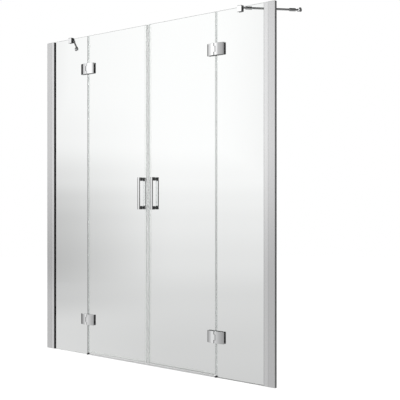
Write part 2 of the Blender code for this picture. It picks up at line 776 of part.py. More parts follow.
def make_closing_seal(name, side, finishes, carrier):
    tube = MAGNET_TUBE_WIDTH / 2
    tube_end = CLOSING_SEAL_START + MAGNET_TUBE
    upper = [
        (CLOSING_SEAL_START, tube, SEAL_ROUND),
        (tube_end, tube, 0),
        (tube_end, SEAL_OUT, SEAL_ROUND),
        (CLOSING_SEAL_END, SEAL_OUT, SEAL_ROUND),
        (CLOSING_SEAL_END, PAD_FACE, 0),
        (CLOSING_WEB, PAD_FACE, 0),
    ]
    outline = rounded(mirrored_section(upper))
    half = tube - SEAL_WALL
    chamber = rectangle(CLOSING_SEAL_START + SEAL_WALL, -half, tube_end, half)
    low = DOOR_BOTTOM - CLOSING_SEAL_DROP
    mesh = extrude("z", low, OVERALL_HEIGHT, outline, [chamber])
    piece(name, side_of(mesh, side), finishes["clear_seal"], carrier)


def make_magnet_strip(name, side, finishes, carrier):
    half = MAGNET_TUBE_WIDTH / 2 - SEAL_WALL - TOUCH
    start = CLOSING_SEAL_START + SEAL_WALL + TOUCH
    outline = rectangle(start, -half, start + MAGNET_DEPTH, half)
    low = DOOR_BOTTOM - CLOSING_SEAL_DROP + TOUCH
    mesh = extrude("z", low, OVERALL_HEIGHT - TOUCH, outline)
    piece(name, side_of(mesh, side), finishes["magnet"], carrier)


def hinge_seal_notches():
    """Cutters that take the seal's legs away behind the hinges."""
    reach = HINGE_HEIGHT / 2 + SEAL_END_GAP
    x0 = DOOR_EDGE - HINGE_SEAL_LEG - OVERRUN
    notches = []
    for z in HINGE_HEIGHTS.values():
        for face in (1, -1):
            y0, y1 = sorted((face * HALF_GLASS, face * (SEAL_OUT + OVERRUN)))
            notches.append(block((x0, y0, z - reach), (FIXED_EDGE, y1, z + reach)))
    return gathered(notches)


def make_hinge_seal(name, side, finishes, carrier):
    """Seal on the door pane's hinge edge, notched behind the hinges."""
    web = DOOR_EDGE + TOUCH
    leg_end = DOOR_EDGE - HINGE_SEAL_LEG
    bulb = HINGE_SEAL_BULB / 2
    upper = [
        (leg_end, PAD_FACE, 0),
        (leg_end, SEAL_OUT, SEAL_ROUND),
        (web + SEAL_WALL, SEAL_OUT, SEAL_ROUND),
        (web + SEAL_WALL, bulb, 0),
        (FIXED_EDGE - HINGE_SEAL_GAP, bulb, bulb / 2),
    ]
    lower = [(x, -y, radius) for x, y, radius in reversed(upper)]
    outline = rounded(upper + lower + [(web, -PAD_FACE, 0), (web, PAD_FACE, 0)])
    mesh = extrude("z", DOOR_BOTTOM, OVERALL_HEIGHT, outline)
    item = piece(name, side_of(mesh, side), finishes["clear_seal"], carrier)
    combine(item, f"{name}_notches", side_of(hinge_seal_notches(), side), "DIFFERENCE")


def make_drip_seal(name, side, finishes, carrier):
    """Seal under the door pane, with a blade over the threshold and a fin inside."""
    leg_top = DOOR_BOTTOM + DRIP_LEG
    web_top = DOOR_BOTTOM - TOUCH
    web_low = web_top - SEAL_WALL
    blade_low = THRESHOLD_HEIGHT + DRIP_BLADE_GAP
    blade = SEAL_WALL / 2
    outline = rounded([
        (-SEAL_OUT, web_low, SEAL_ROUND),
        (-blade, web_low, 0),
        (-blade, blade_low, 0),
        (blade, blade_low, 0),
        (blade, web_low, 0),
        (PAD_FACE, web_low, 0),
        (SEAL_OUT + DRIP_FIN_REACH, web_low - DRIP_FIN_DROP, 0),
        (SEAL_OUT + DRIP_FIN_REACH, web_low - DRIP_FIN_DROP + SEAL_WALL, 0),
        (SEAL_OUT, web_top, 0),
        (SEAL_OUT, leg_top, SEAL_ROUND),
        (PAD_FACE, leg_top, 0),
        (PAD_FACE, web_top, 0),
        (-PAD_FACE, web_top, 0),
        (-PAD_FACE, leg_top, 0),
        (-SEAL_OUT, leg_top, SEAL_ROUND),
    ])
    start = CLOSING_SEAL_END + SEAL_END_GAP
    end = DOOR_EDGE - HINGE_SEAL_LEG - SEAL_END_GAP
    mesh = extrude("x", start, end, outline)
    piece(name, side_of(mesh, side), finishes["clear_seal"], carrier)


def handle_pads(face):
    """Clear round pads between the feet of a handle and the glass."""
    y0, y1 = sorted((face * PAD_FACE, face * (METAL_FACE + FUSED_LAP)))
    return rods(HANDLE_PAD_RADIUS, handle_stud_places(), y0, y1)


def make_handle(name, side, face, finishes, carrier):
    """C-shaped flat bar on one face of the glass; face is 1 inside the shower."""
    grip = METAL_FACE + HANDLE_STANDOFF
    front = grip + HANDLE_BAR
    low = HANDLE_CENTRE_HEIGHT - HANDLE_LENGTH / 2
    high = HANDLE_CENTRE_HEIGHT + HANDLE_LENGTH / 2
    corners = [
        (METAL_FACE, low, 0),
        (front, low, HANDLE_ROUND),
        (front, high, HANDLE_ROUND),
        (METAL_FACE, high, 0),
        (METAL_FACE, high - HANDLE_FOOT, 0),
        (grip, high - HANDLE_FOOT, HANDLE_INNER_ROUND),
        (grip, low + HANDLE_FOOT, HANDLE_INNER_ROUND),
        (METAL_FACE, low + HANDLE_FOOT, 0),
    ]
    outline = [Vector((y * face, z)) for y, z in rounded(corners)]
    half = HANDLE_WIDTH / 2
    mesh = extrude("x", HANDLE_PLACE - half, HANDLE_PLACE + half, outline, edge=HANDLE_EDGE)
    item = piece(name, side_of(mesh, side), finishes["chrome"], carrier)
    combine(item, f"{name}_pads", side_of(handle_pads(face), side), "UNION")
    return item


def make_outer_handle(name, side, finishes, carrier):
    """The handle outside, with the two studs that pass through the glass."""
    item = make_handle(name, side, -1, finishes, carrier)
    low = -METAL_FACE - FUSED_LAP
    studs = rods(STUD_RADIUS, handle_stud_places(), low, METAL_FACE + STUD_DEPTH)
    combine(item, f"{name}_studs", side_of(studs, side), "UNION")


def make_inner_handle(name, side, finishes, carrier):
    """The handle inside, bored for the studs."""
    item = make_handle(name, side, 1, finishes, carrier)
    deepest = METAL_FACE + STUD_DEPTH + TOUCH
    holes = rods(STUD_RADIUS + TOUCH, handle_stud_places(), HALF_GLASS, deepest)
    combine(item, f"{name}_stud_holes", side_of(holes, side), "DIFFERENCE")


def fork_lugs(back):
    """Two lugs round a vertical pivot at the origin, rooted at x = -back."""
    steps = KNUCKLE_STEPS
    angles = [math.pi * step / steps - math.pi / 2 for step in range(steps + 1)]
    points = [Vector((FORK_RADIUS * math.cos(t), FORK_RADIUS * math.sin(t))) for t in angles]
    outline = [Vector((-back, -FORK_RADIUS)), *points, Vector((-back, FORK_RADIUS))]
    half = FORK_GAP / 2
    return gathered([
        extrude("z", half, FORK_HALF, outline),
        extrude("z", -FORK_HALF, -half, outline),
    ])


def pivot_pin():
    """Pin riveted into a fork, with a low head above and below it."""
    top = FORK_HALF + PIVOT_HEAD_HEIGHT
    under = FORK_HALF - TOUCH
    profile = [
        (0, top),
        (PIVOT_HEAD_RADIUS / 2, top),
        (PIVOT_HEAD_RADIUS, FORK_HALF + PIVOT_HEAD_HEIGHT / 2),
        (PIVOT_HEAD_RADIUS, under),
        (PIVOT_RADIUS, under),
    ]
    return turned(profile + [(radius, -z) for radius, z in reversed(profile)], HOLE_SIDES)


def add_fork(item, side, place, back):
    """Join a fork and its riveted pin to a clamp or a flange."""
    lugs = side_of(moved(fork_lugs(back), place), side)
    pin = side_of(moved(pivot_pin(), place), side)
    combine(item, f"{item.name}_fork", lugs, "UNION")
    combine(item, f"{item.name}_pivot", pin, "UNION")


def arm_place(point, angle):
    return Matrix.Translation(point) @ Matrix.Rotation(angle, 4, "Z")


def clamp_lining():
    """Clear strip folded over the top edge of the glass, inside an arm clamp."""
    outer = METAL_FACE + FUSED_LAP
    low = OVERALL_HEIGHT - CLAMP_DROP + PAD_SETBACK
    top = OVERALL_HEIGHT + TOUCH
    outline = rounded([
        (-outer, low, 0),
        (-PAD_FACE, low, 0),
        (-PAD_FACE, top, 0),
        (PAD_FACE, top, 0),
        (PAD_FACE, low, 0),
        (outer, low, 0),
        (outer, top + PAD + FUSED_LAP, 0),
        (-outer, top + PAD + FUSED_LAP, 0),
    ])
    half = CLAMP_WIDTH / 2 - PAD_SETBACK
    return extrude("x", CLAMP_X - half, CLAMP_X + half, outline)


def make_arm_clamp(name, side, finishes):
    """Block over the top edge of the fixed pane, with its lining, fork and set screw."""
    low = OVERALL_HEIGHT - CLAMP_DROP
    high = OVERALL_HEIGHT + CLAMP_RISE
    slot_top = OVERALL_HEIGHT + TOUCH + PAD
    outline = rounded([
        (-CLAMP_BACK, low, CLAMP_ROUND),
        (-METAL_FACE, low, 0),
        (-METAL_FACE, slot_top, 0),
        (METAL_FACE, slot_top, 0),
        (METAL_FACE, low, 0),
        (CLAMP_BACK, low, CLAMP_ROUND),
        (CLAMP_BACK, high, CLAMP_ROUND),
        (-CLAMP_BACK, high, CLAMP_ROUND),
    ])
    half = CLAMP_WIDTH / 2
    mesh = extrude("x", CLAMP_X - half, CLAMP_X + half, outline, edge=CLAMP_EDGE)
    item = piece(name, side_of(mesh, side), finishes["chrome"])
    screw = [(CLAMP_X, low + CLAMP_SCREW_RISE)]
    floor = CLAMP_BACK - CLAMP_SCREW_DEPTH
    hole = rods(CLAMP_SCREW_RADIUS, screw, floor, CLAMP_BACK + OVERRUN)
    combine(item, f"{name}_lining", side_of(clamp_lining(), side), "UNION")
    combine(item, f"{name}_screw_hole", side_of(hole, side), "DIFFERENCE")
    add_fork(item, side, arm_place(ARM_START, math.pi / 2), PIVOT_SETBACK + CLAMP_JAW / 2)


def tongue():
    """Flat tongue from the pivot eye at the origin into the socket body."""
    end = SOCKET_START + (SOCKET_LENGTH - SOCKET_BORE_DEPTH) / 2
    half = TONGUE_WIDTH / 2
    meet = math.asin(half / EYE_RADIUS)
    steps = KNUCKLE_STEPS
    sweep = 2 * (math.pi - meet)
    angles = [meet + sweep * step / steps for step in range(steps + 1)]
    points = [Vector((EYE_RADIUS * math.cos(t), EYE_RADIUS * math.sin(t))) for t in angles]
    outline = [Vector((end, half)), *points, Vector((end, -half))]
    hole = circle(0, 0, PIVOT_RADIUS + TOUCH)
    return extrude("z", -TONGUE_THICKNESS / 2, TONGUE_THICKNESS / 2, outline, [hole])


def socket_body():
    """Round socket along +X with a blind bore for the rod in its far end."""
    bore = ROD_RADIUS + TOUCH
    end = SOCKET_START + SOCKET_LENGTH
    floor = end - SOCKET_BORE_DEPTH
    rim = SOCKET_RADIUS - SOCKET_CHAMFER
    profile = [
        (0, floor),
        (bore, floor),
        (bore, end),
        (rim, end),
        (SOCKET_RADIUS, end - SOCKET_CHAMFER),
        (SOCKET_RADIUS, SOCKET_START + SOCKET_CHAMFER),
        (rim, SOCKET_START),
        (0, SOCKET_START),
    ]
    return moved(turned(profile), Matrix.Rotation(math.pi / 2, 4, "Y"))


def make_arm_socket(name, side, place, finishes, carrier):
    """End fitting of an arm, a round socket with a tongue on the pivot."""
    item = piece(name, side_of(moved(socket_body(), place), side), finishes["chrome"], carrier)
    combine(item, f"{name}_tongue", side_of(moved(tongue(), place), side), "UNION")


def make_arm_rod(name, side, finishes, carrier):
    floor = SOCKET_START + SOCKET_LENGTH - SOCKET_BORE_DEPTH + TOUCH
    outline = circle(0, 0, ROD_RADIUS, ROUND_SIDES)
    rod = extrude("x", floor, ARM_LENGTH - floor, outline)
    mesh = moved(rod, arm_place(ARM_START, ARM_ANGLE))
    piece(name, side_of(mesh, side), finishes["chrome"], carrier)


def make_wall_flange(name, side, finishes, carrier):
    """Round foot flat on the side wall, with the fork of the wall pivot."""
    rim = FLANGE_RADIUS - FLANGE_CHAMFER
    profile = [
        (0, FLANGE_THICKNESS),
        (rim, FLANGE_THICKNESS),
        (FLANGE_RADIUS, FLANGE_THICKNESS - FLANGE_CHAMFER),
        (FLANGE_RADIUS, 0),
        (0, 0),
    ]
    foot = Vector((HALF_WIDTH, ARM_END.y, ARM_END.z))
    turn = Matrix.Translation(foot) @ Matrix.Rotation(-math.pi / 2, 4, "Y")
    mesh = side_of(moved(turned(profile), turn), side)
    item = piece(name, mesh, finishes["chrome"], carrier)
    add_fork(item, side, arm_place(ARM_END, math.pi), PIVOT_SETBACK + FLANGE_THICKNESS / 2)


def make_frame_side(word, side, finishes):
    """Everything on one side that stays fixed to the wall and the tray."""
    make_wall_channel(f"wall_channel_{word}", side, finishes)
    make_glazing_profile(f"glazing_profile_{word}", side, finishes)
    make_glazing_gasket(f"glazing_gasket_{word}", side, finishes)
    make_profile_cap(f"profile_cap_{word}", side, finishes)
    make_fixed_pane(f"fixed_pane_{word}", side, finishes)
    make_base_strip(f"base_strip_{word}", side, finishes)
    make_threshold_end_cap(f"threshold_end_cap_{word}", side, finishes)
    make_arm_clamp(f"arm_clamp_{word}", side, finishes)
    for level, z in HINGE_HEIGHTS.items():
        make_hinge_leaf(f"hinge_fixed_leaf_{level}_{word}", side, FIXED, z, finishes)
        make_hinge_plate(f"hinge_fixed_plate_{level}_{word}", side, FIXED, z, finishes)
        make_hinge_pin(f"hinge_pin_{level}_{word}", side, z, finishes)


def make_door(word, side, finishes):
    """One glass door and all that swings with it."""
    carrier = pivot(f"door_pivot_{word}", (side * HINGE_LINE, PIN_Y, 0))
    make_door_pane(f"door_pane_{word}", side, finishes, carrier)
    for level, z in HINGE_HEIGHTS.items():
        make_hinge_leaf(f"hinge_door_leaf_{level}_{word}", side, DOOR, z, finishes, carrier)
        make_hinge_plate(f"hinge_door_plate_{level}_{word}", side, DOOR, z, finishes, carrier)
    make_closing_seal(f"closing_seal_{word}", side, finishes, carrier)
    make_magnet_strip(f"magnet_strip_{word}", side, finishes, carrier)
    make_hinge_seal(f"hinge_seal_{word}", side, finishes, carrier)
    make_drip_seal(f"drip_seal_{word}", side, finishes, carrier)
    make_outer_handle(f"handle_outer_{word}", side, finishes, carrier)
    make_inner_handle(f"handle_inner_{word}", side, finishes, carrier)


def make_arm(word, side, finishes):
    """One stabiliser arm, and the wall flange that swivels on its end."""
    start = pivot(f"arm_pivot_{word}", (side * ARM_START.x, ARM_START.y, ARM_START.z))
    end = pivot(f"arm_flange_pivot_{word}", (side * ARM_END.x, ARM_END.y, ARM_END.z))
    hang(end, start)
    glass_place = arm_place(ARM_START, ARM_ANGLE)
    wall_place = arm_place(ARM_END, ARM_ANGLE + math.pi)
    make_arm_socket(f"arm_glass_socket_{word}", side, glass_place, finishes, start)
    make_arm_socket(f"arm_wall_socket_{word}", side, wall_place, finishes, start)
    make_arm_rod(f"arm_rod_{word}", side, finishes, start)
    make_wall_flange(f"arm_wall_flange_{word}", side, finishes, end)


def main():
    clear_scene()
    finishes = make_finishes()
    make_threshold_bar(finishes)
    for word, side in SIDES.items():
        make_frame_side(word, side, finishes)
        make_door(word, side, finishes)
        make_arm(word, side, finishes)


main()
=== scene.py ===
# %% [markdown]
# # A hinged glass shower door, dressed for its picture
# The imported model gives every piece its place: X runs along the door, Y runs into the shower and
# Z is up, in metres. Every piece is modelled again here at the same place, with the fine rounds
# that a polished casting or an extrusion has, because metal and glass show their edges before
# anything else. The right-hand half is modelled, and the left-hand half is its mirror image.

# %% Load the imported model
import json
import math

import bmesh
import bpy
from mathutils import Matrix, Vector


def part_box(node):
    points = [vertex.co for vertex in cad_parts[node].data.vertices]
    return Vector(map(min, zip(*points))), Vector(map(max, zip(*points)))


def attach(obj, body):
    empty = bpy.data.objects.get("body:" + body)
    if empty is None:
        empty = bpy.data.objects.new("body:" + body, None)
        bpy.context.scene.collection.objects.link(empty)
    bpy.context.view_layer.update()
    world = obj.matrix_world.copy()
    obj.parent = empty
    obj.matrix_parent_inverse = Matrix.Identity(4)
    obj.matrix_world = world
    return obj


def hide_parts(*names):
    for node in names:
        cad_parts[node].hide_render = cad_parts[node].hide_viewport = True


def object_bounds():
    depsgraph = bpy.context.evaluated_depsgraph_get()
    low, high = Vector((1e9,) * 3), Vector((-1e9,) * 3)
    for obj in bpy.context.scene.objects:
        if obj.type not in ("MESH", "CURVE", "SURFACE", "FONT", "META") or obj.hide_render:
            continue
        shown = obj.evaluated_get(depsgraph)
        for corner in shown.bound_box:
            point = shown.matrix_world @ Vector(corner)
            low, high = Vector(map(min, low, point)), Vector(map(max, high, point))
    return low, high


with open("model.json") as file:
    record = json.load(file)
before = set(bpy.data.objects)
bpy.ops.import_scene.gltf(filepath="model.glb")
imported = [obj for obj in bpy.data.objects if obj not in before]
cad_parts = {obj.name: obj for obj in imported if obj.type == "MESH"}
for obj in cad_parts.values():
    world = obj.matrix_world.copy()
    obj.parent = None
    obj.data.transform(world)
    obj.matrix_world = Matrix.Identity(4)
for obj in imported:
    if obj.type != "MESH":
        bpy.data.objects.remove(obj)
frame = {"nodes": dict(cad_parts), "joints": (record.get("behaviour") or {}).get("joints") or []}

CAD_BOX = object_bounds()
LOW = CAD_BOX[0]
HIGH = CAD_BOX[1]
SIDES = ("right", "left")
LEVELS = ("upper", "lower")
print("model", [round(v, 4) for v in HIGH - LOW], "with", len(frame["nodes"]), "nodes")

# %% [markdown]
# ## Camera
# The door is seen from the right at about half its height, with the camera held level, so every
# upright edge stays upright in the picture. A lens of about 70 mm keeps the far end from shrinking
# too much.

# %% Camera
CAMERA_PLACE = (3.0886, -3.3732, 0.9702)
CAMERA_TURN = math.radians(38.66)
LENS_MM = 69.89
SENSOR_MM = 36
lens = bpy.data.cameras.new("camera")
lens.lens = LENS_MM
lens.sensor_width = SENSOR_MM
camera = bpy.data.objects.new("camera", lens)
camera.location = CAMERA_PLACE
camera.rotation_euler = (math.pi / 2, 0, CAMERA_TURN)
bpy.context.scene.collection.objects.link(camera)
bpy.context.scene.camera = camera
bpy.context.scene.view_settings.view_transform = "Standard"
print("camera", LENS_MM, "mm")

# %% [markdown]
# ## Node helpers
# Every finish is a small network of nodes, and so is the studio. These helpers keep the networks
# short: they add a node with its settings, do one step of arithmetic, follow a value smoothly
# between two levels or from stop to stop, and mix two values.

# %% Node helpers
def add_node(tree, kind, **settings):
    """Add a node with its settings."""
    node = tree.nodes.new(kind)
    for name, value in settings.items():
        setattr(node, name, value)
    return node


def feed(tree, socket, value):
    """Join another socket to this one, or give it a number; nothing is done for None."""
    if isinstance(value, bpy.types.NodeSocket):
        tree.links.new(value, socket)
    elif value is not None:
        socket.default_value = value


def maths(tree, operation, first, second=None):
    """One step of arithmetic between sockets or numbers; returns the socket that holds the result."""
    node = add_node(tree, "ShaderNodeMath", operation=operation)
    feed(tree, node.inputs[0], first)
    feed(tree, node.inputs[1], second)
    return node.outputs[0]


def stretch(tree, value, start, end):
    """Go smoothly from one (place, level) to another as a socket does, and hold both ends."""
    node = add_node(tree, "ShaderNodeMapRange", interpolation_type="SMOOTHSTEP")
    for name, number in zip(("From Min", "To Min", "From Max", "To Max"), (*start, *end)):
        node.inputs[name].default_value = number
    feed(tree, node.inputs[0], value)
    return node.outputs[0]


def levels(tree, value, stops):
    """A grey level that follows a socket from stop to stop; each stop is a place and its level."""
    low, high = stops[0][0], stops[-1][0]
    share = add_node(tree, "ShaderNodeMapRange")
    share.inputs["From Min"].default_value = low
    share.inputs["From Max"].default_value = high
    feed(tree, share.inputs["Value"], value)
    ramp = add_node(tree, "ShaderNodeValToRGB")
    ramp.color_ramp.interpolation = "EASE"
    elements = ramp.color_ramp.elements
    for place, level in stops:
        spot = (place - low) / (high - low)
        element = elements[0] if place == low else elements[-1] if place == high else elements.new(spot)
        element.position = spot
        element.color = (level, level, level, 1)
    tree.links.new(share.outputs[0], ramp.inputs[0])
    return ramp.outputs[0]


def choose(tree, share, first, second):
    """Mix two numbers or sockets by a share."""
    node = add_node(tree, "ShaderNodeMix", data_type="FLOAT")
    feed(tree, node.inputs["Factor"], share)
    feed(tree, node.inputs["A"], first)
    feed(tree, node.inputs["B"], second)
    return node.outputs[0]


# %% [markdown]
# ## Studio
# Chrome and glass have almost no colour of their own: they show the room. So the world holds a
# studio that answers each kind of ray in its own way. The camera sees white. Glass sees a white
# wall that turns soft grey below eye level, and sooner on the left. Metal sees bright panels behind
# the door, a pale front that is brightest low on the left, and black screens between, which draw
# the dark sides of polished pieces. A faint glow from the floor joins it, and it dims overhead and
# straight below. Everything else gets even light.

# %% World sockets
world = bpy.data.worlds.new("studio")
bpy.context.scene.world = world
world.use_nodes = True
tree = world.node_tree
split = add_node(tree, "ShaderNodeSeparateXYZ")
tree.links.new(add_node(tree, "ShaderNodeTexCoord").outputs["Generated"], split.inputs[0])
toward_x, toward_y, toward_z = split.outputs
ray = add_node(tree, "ShaderNodeLightPath").outputs

DEGREES = 180 / math.pi
bearing = maths(tree, "MULTIPLY", maths(tree, "ARCTAN2", toward_y, toward_x), DEGREES)
whole_turn = maths(tree, "MULTIPLY", maths(tree, "LESS_THAN", bearing, 0), 360)
bearing = maths(tree, "ADD", bearing, whole_turn)
rise = maths(tree, "MULTIPLY", maths(tree, "ARCSINE", toward_z), DEGREES)
print("bearing and rise of every ray, in degrees")

# %% [markdown]
# The room that metal mirrors is two strips of grey, one above eye level and one below it. Each
# stop is a bearing in degrees, counted from the right-hand end of the door over its shower side,
# and a level.

# %% The room in metal
ROOM_ABOVE = (
    (0, 0.012), (44, 0.012), (50, 0.06), (60, 0.12), (76, 0.9), (100, 0.9), (110, 0.02), (130, 0.02),
    (135, 0.8), (142, 0.8), (147, 0.06), (196, 0.05), (206, 0.30), (240, 0.55), (250, 0.58),
    (262, 0.48), (275, 0.28), (290, 0.14), (302, 0.05), (314, 0.012), (360, 0.012),
)
ROOM_BELOW = (
    (0, 0.015), (50, 0.04), (60, 0.09), (76, 0.75), (100, 0.75), (110, 0.03), (136, 0.08),
    (188, 0.14), (200, 0.42), (208, 0.56), (218, 0.80), (226, 0.78), (236, 0.66), (246, 0.56),
    (256, 0.46), (268, 0.38), (290, 0.32), (306, 0.12), (318, 0.015), (360, 0.015),
)
ABOVE_SHARE = ((-6, 0.0), (-2, 1.0))
CEILING = ((22, 1.0), (42, 0.06))
FLOOR_BOUNCE = ((-19, 0.45), (-12, 0.0))
FLOOR_FALL = ((-50, 0.35), (-34, 1.0))
room_above = levels(tree, bearing, ROOM_ABOVE)
room_below = levels(tree, bearing, ROOM_BELOW)
room = choose(tree, stretch(tree, rise, *ABOVE_SHARE), room_below, room_above)
room = maths(tree, "MULTIPLY", room, stretch(tree, rise, *CEILING))
room = maths(tree, "MAXIMUM", room, stretch(tree, rise, *FLOOR_BOUNCE))
room = maths(tree, "MULTIPLY", room, stretch(tree, rise, *FLOOR_FALL))
print("room with", len(ROOM_ABOVE), "stops above and", len(ROOM_BELOW), "below")

# %% [markdown]
# The wall that shows through the glass fades with its rise in degrees, in one way on the right and
# in another on the left. A narrow strip at each side is a little darker, as where a wall turns.

# %% The wall behind the glass
BEHIND_RIGHT = (
    (-14, 0.62), (-11, 0.65), (-7.3, 0.70), (-4.4, 0.785), (-1.5, 0.845), (0, 0.885), (1.5, 0.94),
    (4, 1.0), (8, 1.0),
)
BEHIND_LEFT = (
    (-14, 0.74), (-9, 0.70), (-7, 0.575), (-4.4, 0.495), (-1.5, 0.545), (0, 0.61), (1.5, 0.73),
    (4.4, 0.90), (8, 0.95),
)
LEFTWARD = ((130, 0.0), (141, 1.0))
EDGE_LEVEL = 0.92
RIGHT_EDGE = ((122.5, EDGE_LEVEL), (127.5, 1.0))
LEFT_EDGE = ((137.2, 1.0), (139.2, EDGE_LEVEL))
right_wall = levels(tree, rise, BEHIND_RIGHT)
left_wall = levels(tree, rise, BEHIND_LEFT)
wall = choose(tree, stretch(tree, bearing, *LEFTWARD), right_wall, left_wall)
wall = maths(tree, "MINIMUM", wall, stretch(tree, bearing, *RIGHT_EDGE))
wall = maths(tree, "MINIMUM", wall, stretch(tree, bearing, *LEFT_EDGE))

# %% [markdown]
# Now the kinds of ray are told apart, and the last choice made is the one that counts most: the
# camera sees white, a ray off a matt surface finds even light, a ray that metal or glass has
# mirrored sees the room, and a ray that came through glass sees the wall.

# %% What each kind of ray sees
EVEN_LIGHT = 0.62
ONCE = 0.5
mirrored_once = maths(tree, "GREATER_THAN", ray["Glossy Depth"], ONCE)
shown = choose(tree, ray["Is Transmission Ray"], EVEN_LIGHT, wall)
shown = choose(tree, mirrored_once, shown, room)
shown = choose(tree, ray["Is Diffuse Ray"], shown, EVEN_LIGHT)
shown = choose(tree, ray["Is Camera Ray"], shown, 1.0)
tree.links.new(shown, tree.nodes["Background"].inputs["Color"])
print("studio world with", len(tree.nodes), "nodes")

# %% [markdown]
# ## Floor, softbox and lamps
# The floor is pale and glows a little, so that no horizon shows; the rest of it is ordinary matt
# paint that catches the door's shadow. A tall softbox stands front left. Its cloth is clear to
# every ray that no metal has mirrored, so only polished pieces show it. Two broad lamps add the
# gentle modelling that even light lacks.

# %% Floor
FLOOR_RADIUS = 9.0
FLOOR_SIDES = 96
FLOOR_GLOW = 0.8
FLOOR_LEVEL = 1.15


def own_network(name):
    """A new material with an empty network; returns the material, its tree and its surface socket."""
    finish = bpy.data.materials.new(name)
    finish.use_nodes = True
    tree = finish.node_tree
    tree.nodes.clear()
    return finish, tree, add_node(tree, "ShaderNodeOutputMaterial").inputs["Surface"]


def mix_surfaces(tree, share, first, second):
    """Mix two surfaces by a share."""
    blend = add_node(tree, "ShaderNodeMixShader")
    for socket, value in zip(blend.inputs, (share, first, second)):
        tree.links.new(value, socket)
    return blend.outputs[0]


def light_path(tree, name):
    """One of the facts that a shader knows about its ray."""
    return add_node(tree, "ShaderNodeLightPath").outputs[name]


def glow_of(tree, strength):
    """A glowing surface of a strength, which is a number or a socket."""
    glow = add_node(tree, "ShaderNodeEmission")
    feed(tree, glow.inputs["Strength"], strength)
    return glow.outputs[0]


paint, tree, surface = own_network("studio_floor_paint")
seen_share = maths(tree, "MULTIPLY", light_path(tree, "Is Camera Ray"), FLOOR_GLOW)
matt = add_node(tree, "ShaderNodeBsdfDiffuse").outputs[0]
tree.links.new(mix_surfaces(tree, seen_share, matt, glow_of(tree, FLOOR_LEVEL)), surface)
bpy.ops.object.select_all(action="DESELECT")
bpy.ops.mesh.primitive_circle_add(vertices=FLOOR_SIDES, radius=FLOOR_RADIUS, fill_type="NGON")
floor = bpy.context.object
floor.name = "studio_floor"
floor.visible_glossy = False
floor.visible_transmission = False
floor.data.materials.append(paint)
print("floor", FLOOR_RADIUS, "m")

# %% Softbox
SOFTBOX_NEAR = Vector((-1.2, -4.4, 0.05))
SOFTBOX_FAR = Vector((-4.6, -1.56, 3.8))
SOFTBOX_LEVELS = (
    (0.0, 0.50), (0.1, 0.76), (0.2, 0.98), (0.4, 1.0), (0.6, 0.92), (0.72, 0.68), (0.93, 0.60),
    (1.0, 0.45),
)
SOFTBOX_FOOT = ((0.0, 0.62), (0.4, 1.0))
SOFTBOX_POWER = 1.2
cloth, tree, surface = own_network("softbox_cloth")
spread_out = add_node(tree, "ShaderNodeSeparateXYZ")
tree.links.new(add_node(tree, "ShaderNodeTexCoord").outputs["Generated"], spread_out.inputs[0])
across_level = levels(tree, spread_out.outputs[0], SOFTBOX_LEVELS)
foot_level = stretch(tree, spread_out.outputs[1], *SOFTBOX_FOOT)
cloth_level = maths(tree, "MULTIPLY", maths(tree, "MULTIPLY", across_level, foot_level), SOFTBOX_POWER)
in_mirrors = maths(tree, "GREATER_THAN", light_path(tree, "Glossy Depth"), ONCE)
clear = add_node(tree, "ShaderNodeBsdfTransparent").outputs[0]
tree.links.new(mix_surfaces(tree, in_mirrors, clear, glow_of(tree, cloth_level)), surface)

across = SOFTBOX_FAR - SOFTBOX_NEAR
bpy.ops.object.select_all(action="DESELECT")
bpy.ops.mesh.primitive_plane_add(size=1, location=(SOFTBOX_NEAR + SOFTBOX_FAR) / 2,
                                 rotation=(math.pi / 2, 0, math.atan2(across.y, across.x)))
softbox = bpy.context.object
softbox.name = "softbox"
softbox.scale = (math.hypot(across.x, across.y), across.z, 1)
softbox.data.materials.append(cloth)
softbox.visible_camera = False
softbox.visible_diffuse = False
softbox.visible_shadow = False
print("softbox", round(softbox.scale.x, 2), "by", round(softbox.scale.y, 2), "m")

# %% Lamps
DOOR_HEART = (0, 0, HIGH.z / 2)
LAMP_SIZE = 2.6
LAMPS = {"front_lamp": ((-3.0, -4.0, 3.2), 150), "back_lamp": ((2.0, 3.6, 3.4), 70)}
for name, (place, watts) in LAMPS.items():
    lamp = bpy.data.lights.new(name, "AREA")
    lamp.shape = "SQUARE"
    lamp.size = LAMP_SIZE
    lamp.energy = watts
    holder = bpy.data.objects.new(name, lamp)
    holder.location = place
    holder.rotation_euler = (Vector(DOOR_HEART) - Vector(place)).to_track_quat("-Z", "Y").to_euler()
    holder.visible_camera = False
    holder.visible_glossy = False
    holder.visible_transmission = False
    bpy.context.scene.collection.objects.link(holder)
print(len(LAMPS), "lamps")

# %% [markdown]
# ## Metal finishes
# The profiles are aluminium, drawn through a die and then anodised: satin, with faint lines along
# their length. The threshold bar is paler and mirrors little. Its pale tone is partly its own pale
# anodising and partly painted reflection: the light of the pale ground before it is painted into its
# colour. Castings and rods are chromed: nearly a mirror, dulled in soft patches by handling. Screws
# and pins are turned steel. A pattern made from the piece's own coordinates carries the roughness
# of each, so that it stays on the piece when the piece swings.

# %% Finish helpers
NOISE_LOW = 0.3
NOISE_HIGH = 0.7


def new_finish(name, colour, roughness, metallic=0.0, transmission=0.0, ior=1.5):
    """A new material and its shader, with the values that are the same all over."""
    finish = bpy.data.materials.new(name)
    finish.use_nodes = True
    shader = finish.node_tree.nodes["Principled BSDF"]
    shader.inputs["Base Color"].default_value = (*colour, 1)
    shader.inputs["Roughness"].default_value = roughness
    shader.inputs["Metallic"].default_value = metallic
    shader.inputs["Transmission Weight"].default_value = transmission
    shader.inputs["IOR"].default_value = ior
    return finish, shader


